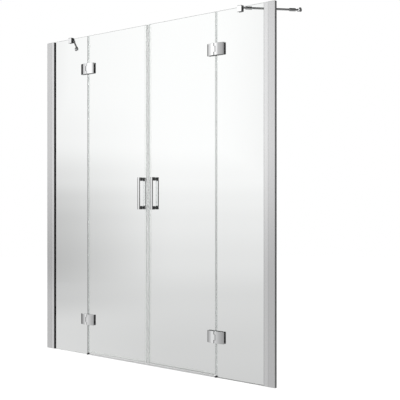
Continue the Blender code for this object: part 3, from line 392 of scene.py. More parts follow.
def pattern(tree, scale, detail=3.0):
    """Noise over the piece's own coordinates, with its own number of spots a metre along each axis."""
    placed = add_node(tree, "ShaderNodeMapping")
    placed.inputs["Scale"].default_value = scale
    noise = add_node(tree, "ShaderNodeTexNoise")
    noise.inputs["Scale"].default_value = 1.0
    noise.inputs["Detail"].default_value = detail
    tree.links.new(add_node(tree, "ShaderNodeTexCoord").outputs["Object"], placed.inputs["Vector"])
    tree.links.new(placed.outputs[0], noise.inputs["Vector"])
    return noise.outputs[0]


def vary_roughness(finish, shader, spots, low, high):
    """Let a pattern carry the roughness between two values."""
    rough = stretch(finish.node_tree, spots, (NOISE_LOW, low), (NOISE_HIGH, high))
    finish.node_tree.links.new(rough, shader.inputs["Roughness"])


def vary_colour(finish, shader, spots, first, second):
    """Let a pattern mix two near colours."""
    tree = finish.node_tree
    mix = add_node(tree, "ShaderNodeMix", data_type="RGBA")
    mix.inputs[6].default_value = (*first, 1)
    mix.inputs[7].default_value = (*second, 1)
    tree.links.new(stretch(tree, spots, (NOISE_LOW, 0.0), (NOISE_HIGH, 1.0)), mix.inputs[0])
    tree.links.new(mix.outputs[2], shader.inputs["Base Color"])


def raise_grain(finish, shader, spots, depth, strength):
    """Let a pattern stand off the surface by a depth in metres."""
    bump = add_node(finish.node_tree, "ShaderNodeBump")
    bump.inputs["Strength"].default_value = strength
    bump.inputs["Distance"].default_value = depth
    finish.node_tree.links.new(spots, bump.inputs["Height"])
    finish.node_tree.links.new(bump.outputs[0], shader.inputs["Normal"])


# %% Metals
DIE_LINES_UPRIGHT = (2600, 2600, 9)
DIE_LINES_LEVEL = (9, 2600, 2600)
CLOUDS = (2, 2, 2)
CLOUD_TONE = 0.01
SMUDGES = (60, 60, 60)
TURNINGS = (300, 300, 3000)


def drawn_aluminium(name, scale, tone, metallic=1.0):
    """Anodised aluminium with die lines along the axis that has the small scale."""
    finish, shader = new_finish(name, (tone, tone, tone), roughness=0.25, metallic=metallic)
    vary_roughness(finish, shader, pattern(finish.node_tree, scale), low=0.22, high=0.26)
    clouds = pattern(finish.node_tree, CLOUDS, detail=1.0)
    dull, clean = tone - CLOUD_TONE, tone + CLOUD_TONE
    blue = CLOUD_TONE / 2
    vary_colour(finish, shader, clouds, (dull, dull, dull + blue), (clean, clean, clean + blue))
    return finish


upright_aluminium = drawn_aluminium("satin_aluminium_upright", DIE_LINES_UPRIGHT, tone=0.70)
bright_aluminium = drawn_aluminium("bright_aluminium_upright", DIE_LINES_UPRIGHT, tone=0.79)
# painted reflection: the threshold's paler, less metallic tone stands in for the pale ground it would
# mirror
level_aluminium_painted_reflection = drawn_aluminium("pale_aluminium_level_painted_reflection", DIE_LINES_LEVEL, tone=0.84, metallic=0.3)

chrome, shader = new_finish("polished_chrome", (0.90, 0.905, 0.91), roughness=0.05, metallic=1.0)
smudges = pattern(chrome.node_tree, SMUDGES, detail=5.0)
vary_roughness(chrome, shader, smudges, low=0.03, high=0.09)

steel, shader = new_finish("turned_steel", (0.66, 0.66, 0.67), roughness=0.28, metallic=1.0)
turnings = pattern(steel.node_tree, TURNINGS)
vary_roughness(steel, shader, turnings, low=0.20, high=0.36)
raise_grain(steel, shader, turnings, depth=0.00002, strength=0.2)
print("five metal finishes")

# %% [markdown]
# ## Glass
# The panes are 8 mm toughened float glass, clear on the faces and a little green where light runs
# along inside them to a ground edge. Toughening leaves a very slight wave in the faces, which moves
# the reflections. The panes cast no shadow, because clear glass lets a lamp's light through.

# %% Glass
CLEAR = (0.975, 0.985, 0.98)
GREENISH = (0.78, 0.86, 0.83)
WAVES = (5, 5, 1.5)
GRINDING = (900, 900, 900)
glass, shader = new_finish("clear_glass", CLEAR, roughness=0.0, transmission=1.0, ior=1.30)
waves = pattern(glass.node_tree, WAVES, detail=1.0)
raise_grain(glass, shader, waves, depth=0.0002, strength=0.01)

glass_edge, shader = new_finish(
    "ground_glass_edge", GREENISH, roughness=0.15, transmission=1.0, ior=1.08)
grinding = pattern(glass_edge.node_tree, GRINDING)
vary_roughness(glass_edge, shader, grinding, low=0.08, high=0.28)
print("two glass finishes")

# %% [markdown]
# ## Seals and plastics
# The door seals and the pads are clear vinyl: it bends light as glass does, but is soft, drawn in
# lines and a little milky. The gasket in the profiles is black rubber, and the caps are moulded
# plastic with the fine grain of their mould. The strip of magnet in each closing seal is painted
# pale, and the washers in the hinges are white nylon.

# %% Clear vinyl
def clear_vinyl(name, scale, colour, transmission, ior):
    """Clear soft vinyl with extrusion lines along the axis that has the small scale."""
    finish, shader = new_finish(name, colour, roughness=0.08, transmission=transmission, ior=ior)
    vary_roughness(finish, shader, pattern(finish.node_tree, scale), low=0.05, high=0.11)
    return finish


VINYL_LINES_UPRIGHT = (1500, 1500, 12)
VINYL_LINES_LEVEL = (12, 1500, 1500)
VINYL = (0.96, 0.965, 0.96)
THIN_VINYL = (0.985, 0.99, 0.985)
MILKY_VINYL = (0.92, 0.93, 0.93)
upright_vinyl = clear_vinyl("clear_vinyl_upright", VINYL_LINES_UPRIGHT, VINYL, 0.96, ior=1.20)
level_vinyl = clear_vinyl("clear_vinyl_level", VINYL_LINES_LEVEL, VINYL, 0.96, ior=1.20)
thin_vinyl = clear_vinyl("thin_clear_vinyl", VINYL_LINES_UPRIGHT, THIN_VINYL, 1.0, ior=1.12)
milky_vinyl = clear_vinyl("milky_vinyl", VINYL_LINES_UPRIGHT, MILKY_VINYL, 0.90, ior=1.30)
print("four vinyl finishes")

# %% Rubber and plastics
MOULD_GRAIN = 0.00005
GRAIN_STRENGTH = 0.35
RUBBER_SHEEN = 0.25


def moulded(name, first, second, gloss, grain):
    """A plastic or rubber between two colours, with its range of roughness and its grain."""
    finish, shader = new_finish(name, first, gloss[0])
    spots = pattern(finish.node_tree, (grain, grain, grain), detail=4.0)
    vary_colour(finish, shader, spots, first, second)
    vary_roughness(finish, shader, spots, *gloss)
    raise_grain(finish, shader, spots, MOULD_GRAIN, GRAIN_STRENGTH)
    return finish, shader


black_rubber, shader = moulded(
    "black_rubber", (0.006, 0.006, 0.006), (0.014, 0.014, 0.014), (0.55, 0.72), 900)
shader.inputs["Specular IOR Level"].default_value = RUBBER_SHEEN
cap_plastic, shader = moulded(
    "grey_cap_plastic", (0.50, 0.50, 0.51), (0.56, 0.56, 0.57), (0.32, 0.46), 1600)
dark_plastic, shader = moulded(
    "dark_moulded_plastic", (0.03, 0.03, 0.033), (0.055, 0.055, 0.06), (0.34, 0.5), 1400)
nylon, shader = moulded(
    "white_nylon", (0.78, 0.77, 0.74), (0.84, 0.83, 0.80), (0.30, 0.42), 700)
pale_magnet, shader = moulded(
    "pale_magnet_strip", (0.84, 0.85, 0.85), (0.90, 0.90, 0.90), (0.45, 0.6), 500)
print("one rubber and four plastic finishes")

# %% [markdown]
# ## Modelling helpers
# Nearly every piece starts as a block or a bar at its real size and place. It is then sliced where
# a step begins, and a face is pulled out or pushed in, which is how an extrusion or a casting is
# drawn by hand. Nothing else may be selected meanwhile, or the operators would work on that too.

# %% Start a piece
BAR_SIDES = 48


def only(item):
    """Select one piece and nothing else."""
    bpy.ops.object.select_all(action="DESELECT")
    item.select_set(True)
    bpy.context.view_layer.objects.active = item


def settle(name):
    """Name the new primitive and put its place, turn and size into its mesh."""
    item = bpy.context.object
    item.name = name
    bpy.ops.object.transform_apply(location=True, rotation=True, scale=True)
    return item


def block(name, one, other):
    """A block between two opposite corners, given in any order."""
    one, other = Vector(one), Vector(other)
    bpy.ops.object.select_all(action="DESELECT")
    bpy.ops.mesh.primitive_cube_add(size=1, location=(one + other) / 2)
    bpy.ops.transform.resize(value=[abs(length) for length in other - one])
    return settle(name)


def bar(name, radius, start, end, sides=BAR_SIDES, end_radius=None):
    """A round bar between two points, or a cone when its end has another radius."""
    start, end = Vector(start), Vector(end)
    bpy.ops.object.select_all(action="DESELECT")
    bpy.ops.mesh.primitive_cone_add(
        vertices=sides, radius1=radius, radius2=radius if end_radius is None else end_radius,
        depth=(end - start).length, location=(start + end) / 2,
        rotation=(end - start).to_track_quat("Z", "Y").to_euler(),
    )
    return settle(name)


# %% [markdown]
# A face or an edge is chosen by where it lies and which way it looks or runs, so the script says
# in words what a hand would click on. SHADOW_GAP is both the smallest gap that is modelled and the
# slack in such a test.

# %% Shape a piece
SHADOW_GAP = 0.00005
FACING = 0.9
RUNNING = 0.99


def open_with(item, kind, wanted):
    """Open a piece in edit mode with only those corners, edges or faces selected that pass a test."""
    only(item)
    bpy.ops.object.mode_set(mode="EDIT")
    bpy.ops.mesh.select_mode(type=kind)
    bpy.ops.mesh.select_all(action="DESELECT")
    mesh = bmesh.from_edit_mesh(item.data)
    parts = {"VERT": mesh.verts, "EDGE": mesh.edges, "FACE": mesh.faces}[kind]
    found = [part for part in parts if wanted(part)]
    for part in found:
        part.select_set(True)
    mesh.select_flush_mode()
    bmesh.update_edit_mesh(item.data)
    return len(found)


def close():
    bpy.ops.object.mode_set(mode="OBJECT")


def everything(part):
    return True


def slice_across(item, axis, places):
    """Cut the faces of a piece along planes square to an axis, without parting it."""
    normal = Vector([float(name == axis) for name in "XYZ"])
    for place in places:
        open_with(item, "FACE", everything)
        bpy.ops.mesh.bisect(plane_co=normal * place, plane_no=normal)
        close()


def pull(item, move, wanted=everything):
    """Pull the faces that look the way of a move, and whose centre passes a test, out along it."""
    axis = max(range(3), key=lambda index: abs(move[index]))
    ahead = math.copysign(1, move[axis])
    open_with(item, "FACE", lambda face: ahead * face.normal[axis] > FACING
              and wanted(face.calc_center_median()))
    bpy.ops.mesh.extrude_region_move(TRANSFORM_OT_translate={"value": move})
    close()


def round_edges(item, radius, steps, axis, wanted):
    """Round the edges that run along an axis, or any way for None, and whose middle passes a test."""
    def passes(edge):
        first, second = (corner.co for corner in edge.verts)
        if axis and abs((second - first).normalized()["XYZ".index(axis)]) <= RUNNING:
            return False
        return wanted((first + second) / 2)

    if open_with(item, "EDGE", passes):
        bpy.ops.mesh.bevel(offset=radius, segments=steps, affect="EDGES", clamp_overlap=True)
    close()


# %% [markdown]
# Pieces are cut, joined and softened with modifiers. A cut along a face can leave corners that lie
# all but on top of each other, and a round stops growing at such corners, so each cut and each
# round ends with a weld that merges them.

# %% Join, cut and soften
WELD = 0.00002
SHARP = math.radians(35)
OVERRUN = 0.004


def weld(item, reach=WELD):
    """Merge the corners that lie within a reach of each other, and drop the faces that this closes."""
    open_with(item, "VERT", everything)
    bpy.ops.mesh.remove_doubles(threshold=reach)
    bpy.ops.mesh.dissolve_degenerate(threshold=reach)
    close()


def combine(item, tools, operation):
    """Cut tools out of a piece, join them on, or keep what they share, and clear them away."""
    for tool in tools:
        only(item)
        step = item.modifiers.new("combine", "BOOLEAN")
        step.operation = operation
        step.object = tool
        bpy.ops.object.modifier_apply(modifier=step.name)
        bpy.data.objects.remove(tool)
        weld(item)
    return item


def cut(item, *tools):
    return combine(item, tools, "DIFFERENCE")


def join(item, *tools):
    return combine(item, tools, "UNION")


def soften(item, radius, steps=3):
    """Break every sharp edge with a small round, as tumbling and polishing do."""
    only(item)
    step = item.modifiers.new("soften", "BEVEL")
    step.width = radius
    step.segments = steps
    step.limit_method = "ANGLE"
    step.angle_limit = SHARP
    step.miter_outer = "MITER_ARC"
    bpy.ops.object.modifier_apply(modifier=step.name)
    weld(item)
    return item


# %% [markdown]
# ## Fitting a piece
# A finished piece gets its material and rides on the body that carries it on the real door. The
# mirror copy has its own mesh, scaled by minus one across the middle of the door; that turns a
# mesh inside out, so its faces are flipped back. Flat faces get their normals weighted by area,
# which keeps broad faces truly flat in reflections.

# %% Fit pieces
FLAT_FACE_WEIGHT = 60
FITTED = []


def copied(item, name):
    """A copy with its own mesh."""
    only(item)
    bpy.ops.object.duplicate()
    twin = bpy.context.object
    twin.name = name
    return twin


def moved(item, shift):
    """Slide a piece's mesh, with the object left at the origin."""
    open_with(item, "FACE", everything)
    bpy.ops.transform.translate(value=shift)
    close()
    return item


def mirrored(item):
    """Turn a right-hand piece into its left-hand twin."""
    open_with(item, "FACE", everything)
    bpy.ops.transform.resize(value=(-1, 1, 1), center_override=(0, 0, 0))
    bpy.ops.mesh.flip_normals()
    close()
    return item


def gather(name, items):
    """Make several bodies one piece, as a group of alike fasteners is."""
    bpy.ops.object.select_all(action="DESELECT")
    for item in items:
        item.select_set(True)
    bpy.context.view_layer.objects.active = items[0]
    bpy.ops.object.join()
    items[0].name = name
    return items[0]


def smooth(item):
    """Smooth the rounds, keep the corners, and let broad faces decide the normals."""
    only(item)
    bpy.ops.object.shade_smooth_by_angle(angle=SHARP)
    step = item.modifiers.new("weigh normals", "WEIGHTED_NORMAL")
    step.keep_sharp = True
    step.weight = FLAT_FACE_WEIGHT
    bpy.ops.object.modifier_apply(modifier=step.name)


def fit(item, name, finish, body, node=None):
    """Name a piece, finish it, and hand it to the body that carries it."""
    item.name = name
    item.data.name = name
    if finish:
        item.data.materials.append(finish)
    smooth(item)
    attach(item, body)
    if node:
        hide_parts(node)
    FITTED.append(item)


def fit_pair(item, words, finish, body, node=None):
    """Fit a right-hand piece and its left-hand twin; {side} stands for the side's name."""
    twin = mirrored(copied(item, words))
    for side, piece in zip(SIDES, (item, twin)):
        here = node.format(side=side) if node else None
        fit(piece, f"{side}_{words}", finish, body.format(side=side), here)
    print(words, len(item.data.polygons), "faces each")


def second_finish(item, first, second, wanted):
    """Finish a piece in two ways: the second is for the faces that pass a test."""
    item.data.materials.append(first)
    item.data.materials.append(second)
    open_with(item, "FACE", wanted)
    item.active_material_index = 1
    bpy.ops.object.material_slot_assign()
    close()


# %% [markdown]
# ## Wall channels
# A wall channel is a U of 1.6 mm aluminium, screwed to the wall through its web, that takes up an
# uneven wall. It starts as the web alone. Two slices mark where the flanges stand, and the two
# outer strips are pulled out of it. The web is drilled where the wall screws pass. FIT is the
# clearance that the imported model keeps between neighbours.

# %% Wall channels
FIT = 0.0003
channel_low, channel_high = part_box("wall_channel_right")
WALL_X = channel_high.x
FRAME_HALF = -channel_low.y
PROFILE_TOP = channel_high.z
CHANNEL_WALL = 0.0016
OUTER_ROUND = 0.0003
WALL_HOLE_RADIUS = 0.0026
WALL_HOLE_COUNT = 5
WALL_HOLE_INSET = 0.100
HOLE_SIDES = 24


def spread(count, low, high):
    """Evenly spaced values from low to high."""
    return [low + (high - low) * step / (count - 1) for step in range(count)]


inner = FRAME_HALF - CHANNEL_WALL
web_face = WALL_X - CHANNEL_WALL
channel = block("channel", (web_face, -FRAME_HALF, 0), (WALL_X, FRAME_HALF, PROFILE_TOP))
slice_across(channel, "Y", (-inner, inner))
pull(channel, (channel_low.x - web_face, 0, 0), lambda centre: abs(centre.y) > inner)
round_edges(channel, OUTER_ROUND, 3, "Z", lambda at: abs(at.y) > inner - OUTER_ROUND
            and (at.x > WALL_X - OUTER_ROUND or at.x < channel_low.x + OUTER_ROUND))
for height in spread(WALL_HOLE_COUNT, WALL_HOLE_INSET, HIGH.z - WALL_HOLE_INSET):
    start, end = (web_face - OVERRUN, 0, height), (WALL_X + OVERRUN, 0, height)
    cut(channel, bar("drill", WALL_HOLE_RADIUS, start, end, HOLE_SIDES))
fit_pair(channel, "wall_channel", upright_aluminium, "frame", "wall_channel_{side}")

# %% [markdown]
# Three pan-head screws on the shower side lock the glazing profile in the channel, out of sight
# from the room. Each is a bar with a rounded head and a hexagon socket.

# %% Profile screws
PROFILE_SCREW_COUNT = 3
PROFILE_SCREW_HEAD = 0.0035
PROFILE_SCREW_HEIGHT = 0.0015
PROFILE_SCREW_DOME = PROFILE_SCREW_HEIGHT * 0.6
PROFILE_SCREW_SETBACK = 0.012
PROFILE_SCREW_INSET = 0.130
PROFILE_SCREW_SOCKET = 0.0013
PROFILE_SCREW_FLOOR = 8 * SHADOW_GAP
HEAD_SIDES = 32
HEXAGON = 6

screws = []
for height in spread(PROFILE_SCREW_COUNT, PROFILE_SCREW_INSET, HIGH.z - PROFILE_SCREW_INSET):
    place = Vector((channel_low.x + PROFILE_SCREW_SETBACK, FRAME_HALF + SHADOW_GAP, height))
    top = place + Vector((0, PROFILE_SCREW_HEIGHT, 0))
    head = bar("head", PROFILE_SCREW_HEAD, place, top, HEAD_SIDES)
    round_edges(head, PROFILE_SCREW_DOME, 3, None, lambda at: at.y > top.y - SHADOW_GAP)
    start, end = place + Vector((0, PROFILE_SCREW_FLOOR, 0)), top + Vector((0, OVERRUN, 0))
    screws.append(cut(head, bar("socket", PROFILE_SCREW_SOCKET, start, end, HEXAGON)))
fit_pair(gather("screws", screws), "profile_screws", steel, "frame")

# %% [markdown]
# ## Glazing profiles
# The glazing profile slides in the channel with its narrow tail, and its head holds the glass. It
# starts as the head behind the glass. The tail is pulled out of its wall side and the two lips of
# the pocket out of its glass side. The grooves that hold the gasket and the chamber are cut out.

# %% Glazing profiles
profile_low, profile_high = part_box("glazing_profile_right")
HEAD_END = profile_low.x
HEAD_START = channel_low.x - FIT
TAIL_END = profile_high.x
TAIL_HALF = FRAME_HALF - CHANNEL_WALL - FIT
PANE_HALF = 0.004
GASKET_THICKNESS = 0.0018
POCKET_HALF = PANE_HALF + GASKET_THICKNESS
POCKET_DEPTH = 0.015
POCKET_END = HEAD_END + POCKET_DEPTH
PROFILE_WALL = 0.0015
LIP = 0.0015
GROOVE_LENGTH = 0.0045
GROOVE_DEPTH = 0.0010
HEAD_ROUND = 0.0004
CHAMBER_START = POCKET_END + PROFILE_WALL
CHAMBER_END = TAIL_END - PROFILE_WALL
CHAMBER_HALF = TAIL_HALF - PROFILE_WALL

ABOVE = PROFILE_TOP + OVERRUN
profile = block("profile", (POCKET_END, -FRAME_HALF, 0), (HEAD_START, FRAME_HALF, PROFILE_TOP))
slice_across(profile, "Y", (-TAIL_HALF, -POCKET_HALF, POCKET_HALF, TAIL_HALF))
pull(profile, (TAIL_END - HEAD_START, 0, 0), lambda centre: abs(centre.y) < TAIL_HALF)
pull(profile, (-POCKET_DEPTH, 0, 0), lambda centre: abs(centre.y) > POCKET_HALF)
groove = HEAD_END + LIP
for side in (-1, 1):
    start = (groove, side * (POCKET_HALF - GROOVE_DEPTH), -OVERRUN)
    end = (groove + GROOVE_LENGTH, side * (POCKET_HALF + GROOVE_DEPTH), ABOVE)
    cut(profile, block("groove", start, end))
start = (CHAMBER_START, -CHAMBER_HALF, -OVERRUN)
cut(profile, block("chamber", start, (CHAMBER_END, CHAMBER_HALF, ABOVE)))
outermost = FRAME_HALF - OUTER_ROUND
round_edges(profile, HEAD_ROUND, 4, "Z",
            lambda at: abs(at.y) > outermost and at.x < HEAD_END + OUTER_ROUND)
round_edges(profile, OUTER_ROUND, 3, "Z",
            lambda at: abs(at.y) > outermost and at.x > HEAD_START - OUTER_ROUND)
fit_pair(profile, "glazing_profile", bright_aluminium, "frame", "glazing_profile_{side}")

# %% [markdown]
# ## Gaskets
# A U of black rubber wraps the edge of the glass in the pocket. All that shows is its two lips,
# which lap over the ends of the profile and lie on the glass as a dark line. The one on the shower
# side is the wider. The U starts as its web, and the legs are pulled out of it past the profile.

# %% Gaskets
LIP_LENGTHS = {-1: 0.0030, 1: 0.0080}
LIP_LAP = 0.0010
LIP_SLOPE = 0.0024
GASKET_WEB = 0.0010
GLASS_FACE = PANE_HALF + FIT
LEG_HALF = POCKET_HALF - FIT
gasket_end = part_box("glazing_gasket_right")[1].x
lip_start = HEAD_END - FIT
web_face = gasket_end - GASKET_WEB
gasket = block("gasket", (web_face, -LEG_HALF, 0), (gasket_end, LEG_HALF, PROFILE_TOP))
slice_across(gasket, "Y", (-GLASS_FACE, GLASS_FACE))
for side, length in LIP_LENGTHS.items():
    pull(gasket, (HEAD_END - length - web_face, 0, 0), lambda centre: side * centre.y > GLASS_FACE)
slice_across(gasket, "X", (lip_start,))
for side in LIP_LENGTHS:
    pull(gasket, (0, side * (POCKET_HALF + LIP_LAP - LEG_HALF), 0),
         lambda centre: side * centre.y > GLASS_FACE and centre.x < lip_start)
round_edges(gasket, LIP_SLOPE, 1, "Z",
            lambda at: at.x < lip_start - SHADOW_GAP and abs(at.y) > LEG_HALF)
weld(gasket)
fit_pair(gasket, "glazing_gasket", black_rubber, "frame", "glazing_gasket_{side}")

# %% [markdown]
# ## Profile caps
# A moulded cap closes the open tops of both profiles, with a slot that lets the pane run up
# through it and a plug below that grips inside the chamber.

# %% Profile caps
cap_low, cap_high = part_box("profile_cap_right")
CAP_THICKNESS = 0.0015
CAP_CORNER = 0.0010
CAP_ROUND = 0.0003
PLUG_LAP = 0.0005
plate_low = cap_high.z - CAP_THICKNESS
slot_half = POCKET_HALF + FIT
plug_half = CHAMBER_HALF - FIT
cap = block("cap", (cap_low.x, cap_low.y, plate_low), cap_high)
cut(cap, block("slot", (cap_low.x - OVERRUN, -slot_half, plate_low - OVERRUN),
               (POCKET_END, slot_half, cap_high.z + OVERRUN)))
round_edges(cap, CAP_CORNER, 4, "Z", lambda at: abs(at.y) > outermost)
soften(cap, CAP_ROUND, 2)
join(cap, block("plug", (CHAMBER_START + FIT, -plug_half, cap_low.z),
                (CHAMBER_END - FIT, plug_half, plate_low + PLUG_LAP)))
fit_pair(cap, "profile_cap", cap_plastic, "frame", "profile_cap_{side}")

# %% [markdown]
# ## Glass panes
# Each pane is drilled for its hinges, and the doors for their handles, before it is toughened, and
# all its edges are ground to a small arris that catches a thin line of light. The faces of the
# edges get the second glass finish, chosen by their normals.

# %% Glass panes
ARRIS = 0.0007
GLASS_HOLE = 0.007
SCREW_PLACE = 0.031
SCREW_RISE = 0.018
HANDLE_FOOT = 0.020
PANE_FACING = 0.98
pins = {level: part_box(f"hinge_pin_{level}_right") for level in LEVELS}
HINGE_X = (pins["upper"][0].x + pins["upper"][1].x) / 2
PIN_Y = (pins["upper"][0].y + pins["upper"][1].y) / 2
HINGE_Z = {level: (low.z + high.z) / 2 for level, (low, high) in pins.items()}
handle_low, handle_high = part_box("handle_outer_right")
HANDLE_X = (handle_low.x + handle_high.x) / 2
STUD_HEIGHTS = (handle_low.z + HANDLE_FOOT / 2, handle_high.z - HANDLE_FOOT / 2)


def screw_places(half):
    """Where the screws of the door half (-1) or fixed half (1) of both hinges pass through glass."""
    return [(HINGE_X + half * SCREW_PLACE, z + shift)
            for z in HINGE_Z.values() for shift in (-SCREW_RISE, SCREW_RISE)]


def drilled_pane(node, places):
    """A pane with its holes, its arrises and its edge finish."""
    pane = block("pane", *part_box(node))
    for x, z in places:
        cut(pane, bar("drill", GLASS_HOLE, (x, -PANE_HALF - OVERRUN, z), (x, PANE_HALF + OVERRUN, z)))
    soften(pane, ARRIS, 2)
    second_finish(pane, glass, glass_edge, lambda face: abs(face.normal.y) < PANE_FACING)
    pane.visible_shadow = False
    return pane


fixed_pane = drilled_pane("fixed_pane_right", screw_places(1))
fit_pair(fixed_pane, "fixed_pane", None, "frame", "fixed_pane_{side}")
stud_places = [(HANDLE_X, z) for z in STUD_HEIGHTS]
door_pane = drilled_pane("door_pane_right", screw_places(-1) + stud_places)
fit_pair(door_pane, "door_pane", None, "door_{side}", "door_pane_{side}")

# %% [markdown]
# ## Hinges
# The hinges are what makes this door: cast halves clamp the glass from outside, and three knuckles
# share one steel pin. Each half starts as a block that is intersected with a very wide upright
# cylinder, which gives its face the shallow crown. Its far end is rounded and its edges softened
# while the shape is still plain. Then the knuckles are joined on as bars, and a cylinder and a
# block cut the room for the other half's knuckles.

# %% Hinge sizes
leaf_low, leaf_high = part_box("hinge_fixed_leaf_upper_right")
HINGE_HALF = (leaf_high.z - leaf_low.z) / 2
LEAF_END = leaf_high.x - HINGE_X
LEAF_FRONT = leaf_low.y
METAL_FACE = 0.0053
LEAF_END_THICKNESS = 0.0045
LEAF_END_ROUND = 0.0035
KNUCKLE = 0.0065
KNUCKLE_GAP = 0.0004
MIDDLE_HALF = 0.015
WASHER = 0.0010
PIN_RADIUS = 0.003
PIN_BORE = PIN_RADIUS + 3 * SHADOW_GAP
CAST_ROUND = 0.0006
GAP_HALF = 0.005
CROWN_SIDES = 720
PLACE = HINGE_Z["upper"]
print("hinge", round(2 * HINGE_HALF * 1000, 1), "mm high")


# %% Hinge castings
def u_block(name, half, u0, y0, z0, u1, y1, z1):
    """A block measured outward from the pin, on the door half (-1) or the fixed half (1)."""
    return block(name, (HINGE_X + half * u0, y0, PLACE + z0), (HINGE_X + half * u1, y1, PLACE + z1))


def pin_bar(name, radius, z0, z1):
    """An upright bar on the line of the hinge pin."""
    return bar(name, radius, (HINGE_X, PIN_Y, PLACE + z0), (HINGE_X, PIN_Y, PLACE + z1))


def crowned(item, x, front, rise, half, low, high, sides):
    """Keep what lies in a wide upright cylinder, whose front falls by a rise within a half width."""
    radius = (half ** 2 + rise ** 2) / (2 * rise)
    y = front + math.copysign(radius, -front)
    drum = bar("crown", radius, (x, y, low - OVERRUN), (x, y, high + OVERRUN), sides)
    return combine(item, [drum], "INTERSECT")


def leaf_blank(half):
    """The crowned plate of a hinge half, with its rounds."""
    rise = -METAL_FACE - LEAF_END_THICKNESS - LEAF_FRONT
    leaf = u_block("leaf", half, 0, -METAL_FACE, -HINGE_HALF,
                   LEAF_END, LEAF_FRONT - OVERRUN, HINGE_HALF)
    crowned(leaf, HINGE_X, LEAF_FRONT, rise, LEAF_END,
            PLACE - HINGE_HALF, PLACE + HINGE_HALF, CROWN_SIDES)
    end = HINGE_X + half * LEAF_END
    round_edges(leaf, LEAF_END_ROUND, 8, "Z",
                lambda at: abs(at.x - end) < SHADOW_GAP and at.y < -METAL_FACE - CAST_ROUND)
    weld(leaf, CAST_ROUND / 2)
    return soften(leaf, CAST_ROUND)


def hinge_leaf(half):
    """The cast outer half of a hinge, with its knuckle or knuckles and room for the others."""
    top = HINGE_HALF + OVERRUN
    clear = MIDDLE_HALF + WASHER + 2 * FIT
    if half > 0:
        knuckles = [(-HINGE_HALF, -clear), (clear, HINGE_HALF)]
        openings = [(-clear, clear)]
    else:
        knuckles = [(-MIDDLE_HALF, MIDDLE_HALF)]
        openings = [(MIDDLE_HALF, top), (-top, -MIDDLE_HALF)]
    leaf = leaf_blank(half)
    reach = KNUCKLE + KNUCKLE_GAP
    cut(leaf, u_block("neck", half, -OVERRUN, PIN_Y, -top, GAP_HALF, OVERRUN, top))
    for low, high in knuckles:
        join(leaf, soften(pin_bar("knuckle", KNUCKLE, low, high), CAST_ROUND / 2, 2))
    for low, high in openings:
        cut(leaf, pin_bar("clearance", reach, low, high))
        cut(leaf, u_block("clearance", half, -OVERRUN, LEAF_FRONT - OVERRUN, low, reach, PIN_Y, high))
    return cut(leaf, pin_bar("bore", PIN_BORE, -top, top))


def fit_hinges(item, words, finish, body, node=None):
    """Fit a piece of the upper right hinge, and its copies in the other three hinges."""
    lower = moved(copied(item, words), (0, 0, HINGE_Z["lower"] - HINGE_Z["upper"]))
    for level, piece in zip(LEVELS, (item, lower)):
        here = node.replace("LEVEL", level) if node else None
        fit_pair(piece, f"{level}_{words}", finish, body, here)


HALVES = ((1, "fixed", "frame"), (-1, "door", "door_{side}"))
for half, words, body in HALVES:
    fit_hinges(hinge_leaf(half), f"hinge_{words}_leaf", chrome, body,
               f"hinge_{words}_leaf_LEVEL_{{side}}")

# %% [markdown]
# The flat plates inside the shower draw the castings against the glass, with two countersunk
# screws each. A cone cuts the seat of each screw, and the screw's own head is a slightly smaller
# cone with a hexagon socket, so a fine dark ring shows round it as on a real one. Clear pads lie
# between the metal and both faces of the glass.

# %% Hinge plates, screws and pads
PLATE_THICKNESS = 0.007
PLATE_MEETING = 0.001
PLATE_END_ROUND = 0.0025
SCREW_RADIUS = 0.0025
SCREW_HEAD = 0.0046
SCREW_HEAD_DEPTH = 0.0024
SCREW_SIDES = 40
SCREW_SEAT_SLACK = 2 * SHADOW_GAP
SCREW_SOCKET = 0.0017
SOCKET_DEPTH = 0.0020
SCREW_REACH = 0.008
PAD_SETBACK = 0.001
PAD_CORNER = 0.002
PLATE_BACK = METAL_FACE + PLATE_THICKNESS


def screw_at(x, z, slack):
    """A countersunk screw through the glass, or the tool that cuts its seat when it has slack."""
    cone_start = PLATE_BACK - SCREW_HEAD_DEPTH
    radius = SCREW_RADIUS + slack
    head = bar("head", radius, (x, cone_start, z), (x, PLATE_BACK, z), SCREW_SIDES, SCREW_HEAD + slack)
    start, end = (x, -METAL_FACE - SCREW_REACH, z), (x, PLATE_BACK - SCREW_HEAD_DEPTH / 2, z)
    return join(head, bar("shank", radius, start, end, SCREW_SIDES))


def hinge_plate(half):
    """The flat inner half of a hinge, with the seats of its screws."""
    plate = u_block("plate", half, PLATE_MEETING, METAL_FACE, -HINGE_HALF,
                    LEAF_END, PLATE_BACK, HINGE_HALF)
    end = HINGE_X + half * LEAF_END
    round_edges(plate, PLATE_END_ROUND, 6, "Z",
                lambda at: abs(at.x - end) < SHADOW_GAP and at.y > METAL_FACE + CAST_ROUND)
    soften(plate, CAST_ROUND)
    for shift in (-SCREW_RISE, SCREW_RISE):
        cut(plate, screw_at(HINGE_X + half * SCREW_PLACE, PLACE + shift, SCREW_SEAT_SLACK))
    return plate


def hinge_screws(half):
    """The two screws of a hinge half, with their hexagon sockets."""
    x = HINGE_X + half * SCREW_PLACE
    made = []
    for z in (PLACE - SCREW_RISE, PLACE + SCREW_RISE):
        start, end = (x, PLATE_BACK - SOCKET_DEPTH, z), (x, PLATE_BACK + OVERRUN, z)
        made.append(cut(screw_at(x, z, 0), bar("socket", SCREW_SOCKET, start, end, HEXAGON)))
    return gather("screws", made)


def hinge_pad(half, face):
    """Clear pad between the metal and one face of the glass."""
    low, high = HINGE_HALF - PAD_SETBACK, LEAF_END - PAD_SETBACK
    pad = u_block("pad", half, GAP_HALF + PAD_SETBACK, face * GLASS_FACE, -low,
                  high, face * METAL_FACE, low)
    round_edges(pad, PAD_CORNER, 4, "Y", everything)
    return pad


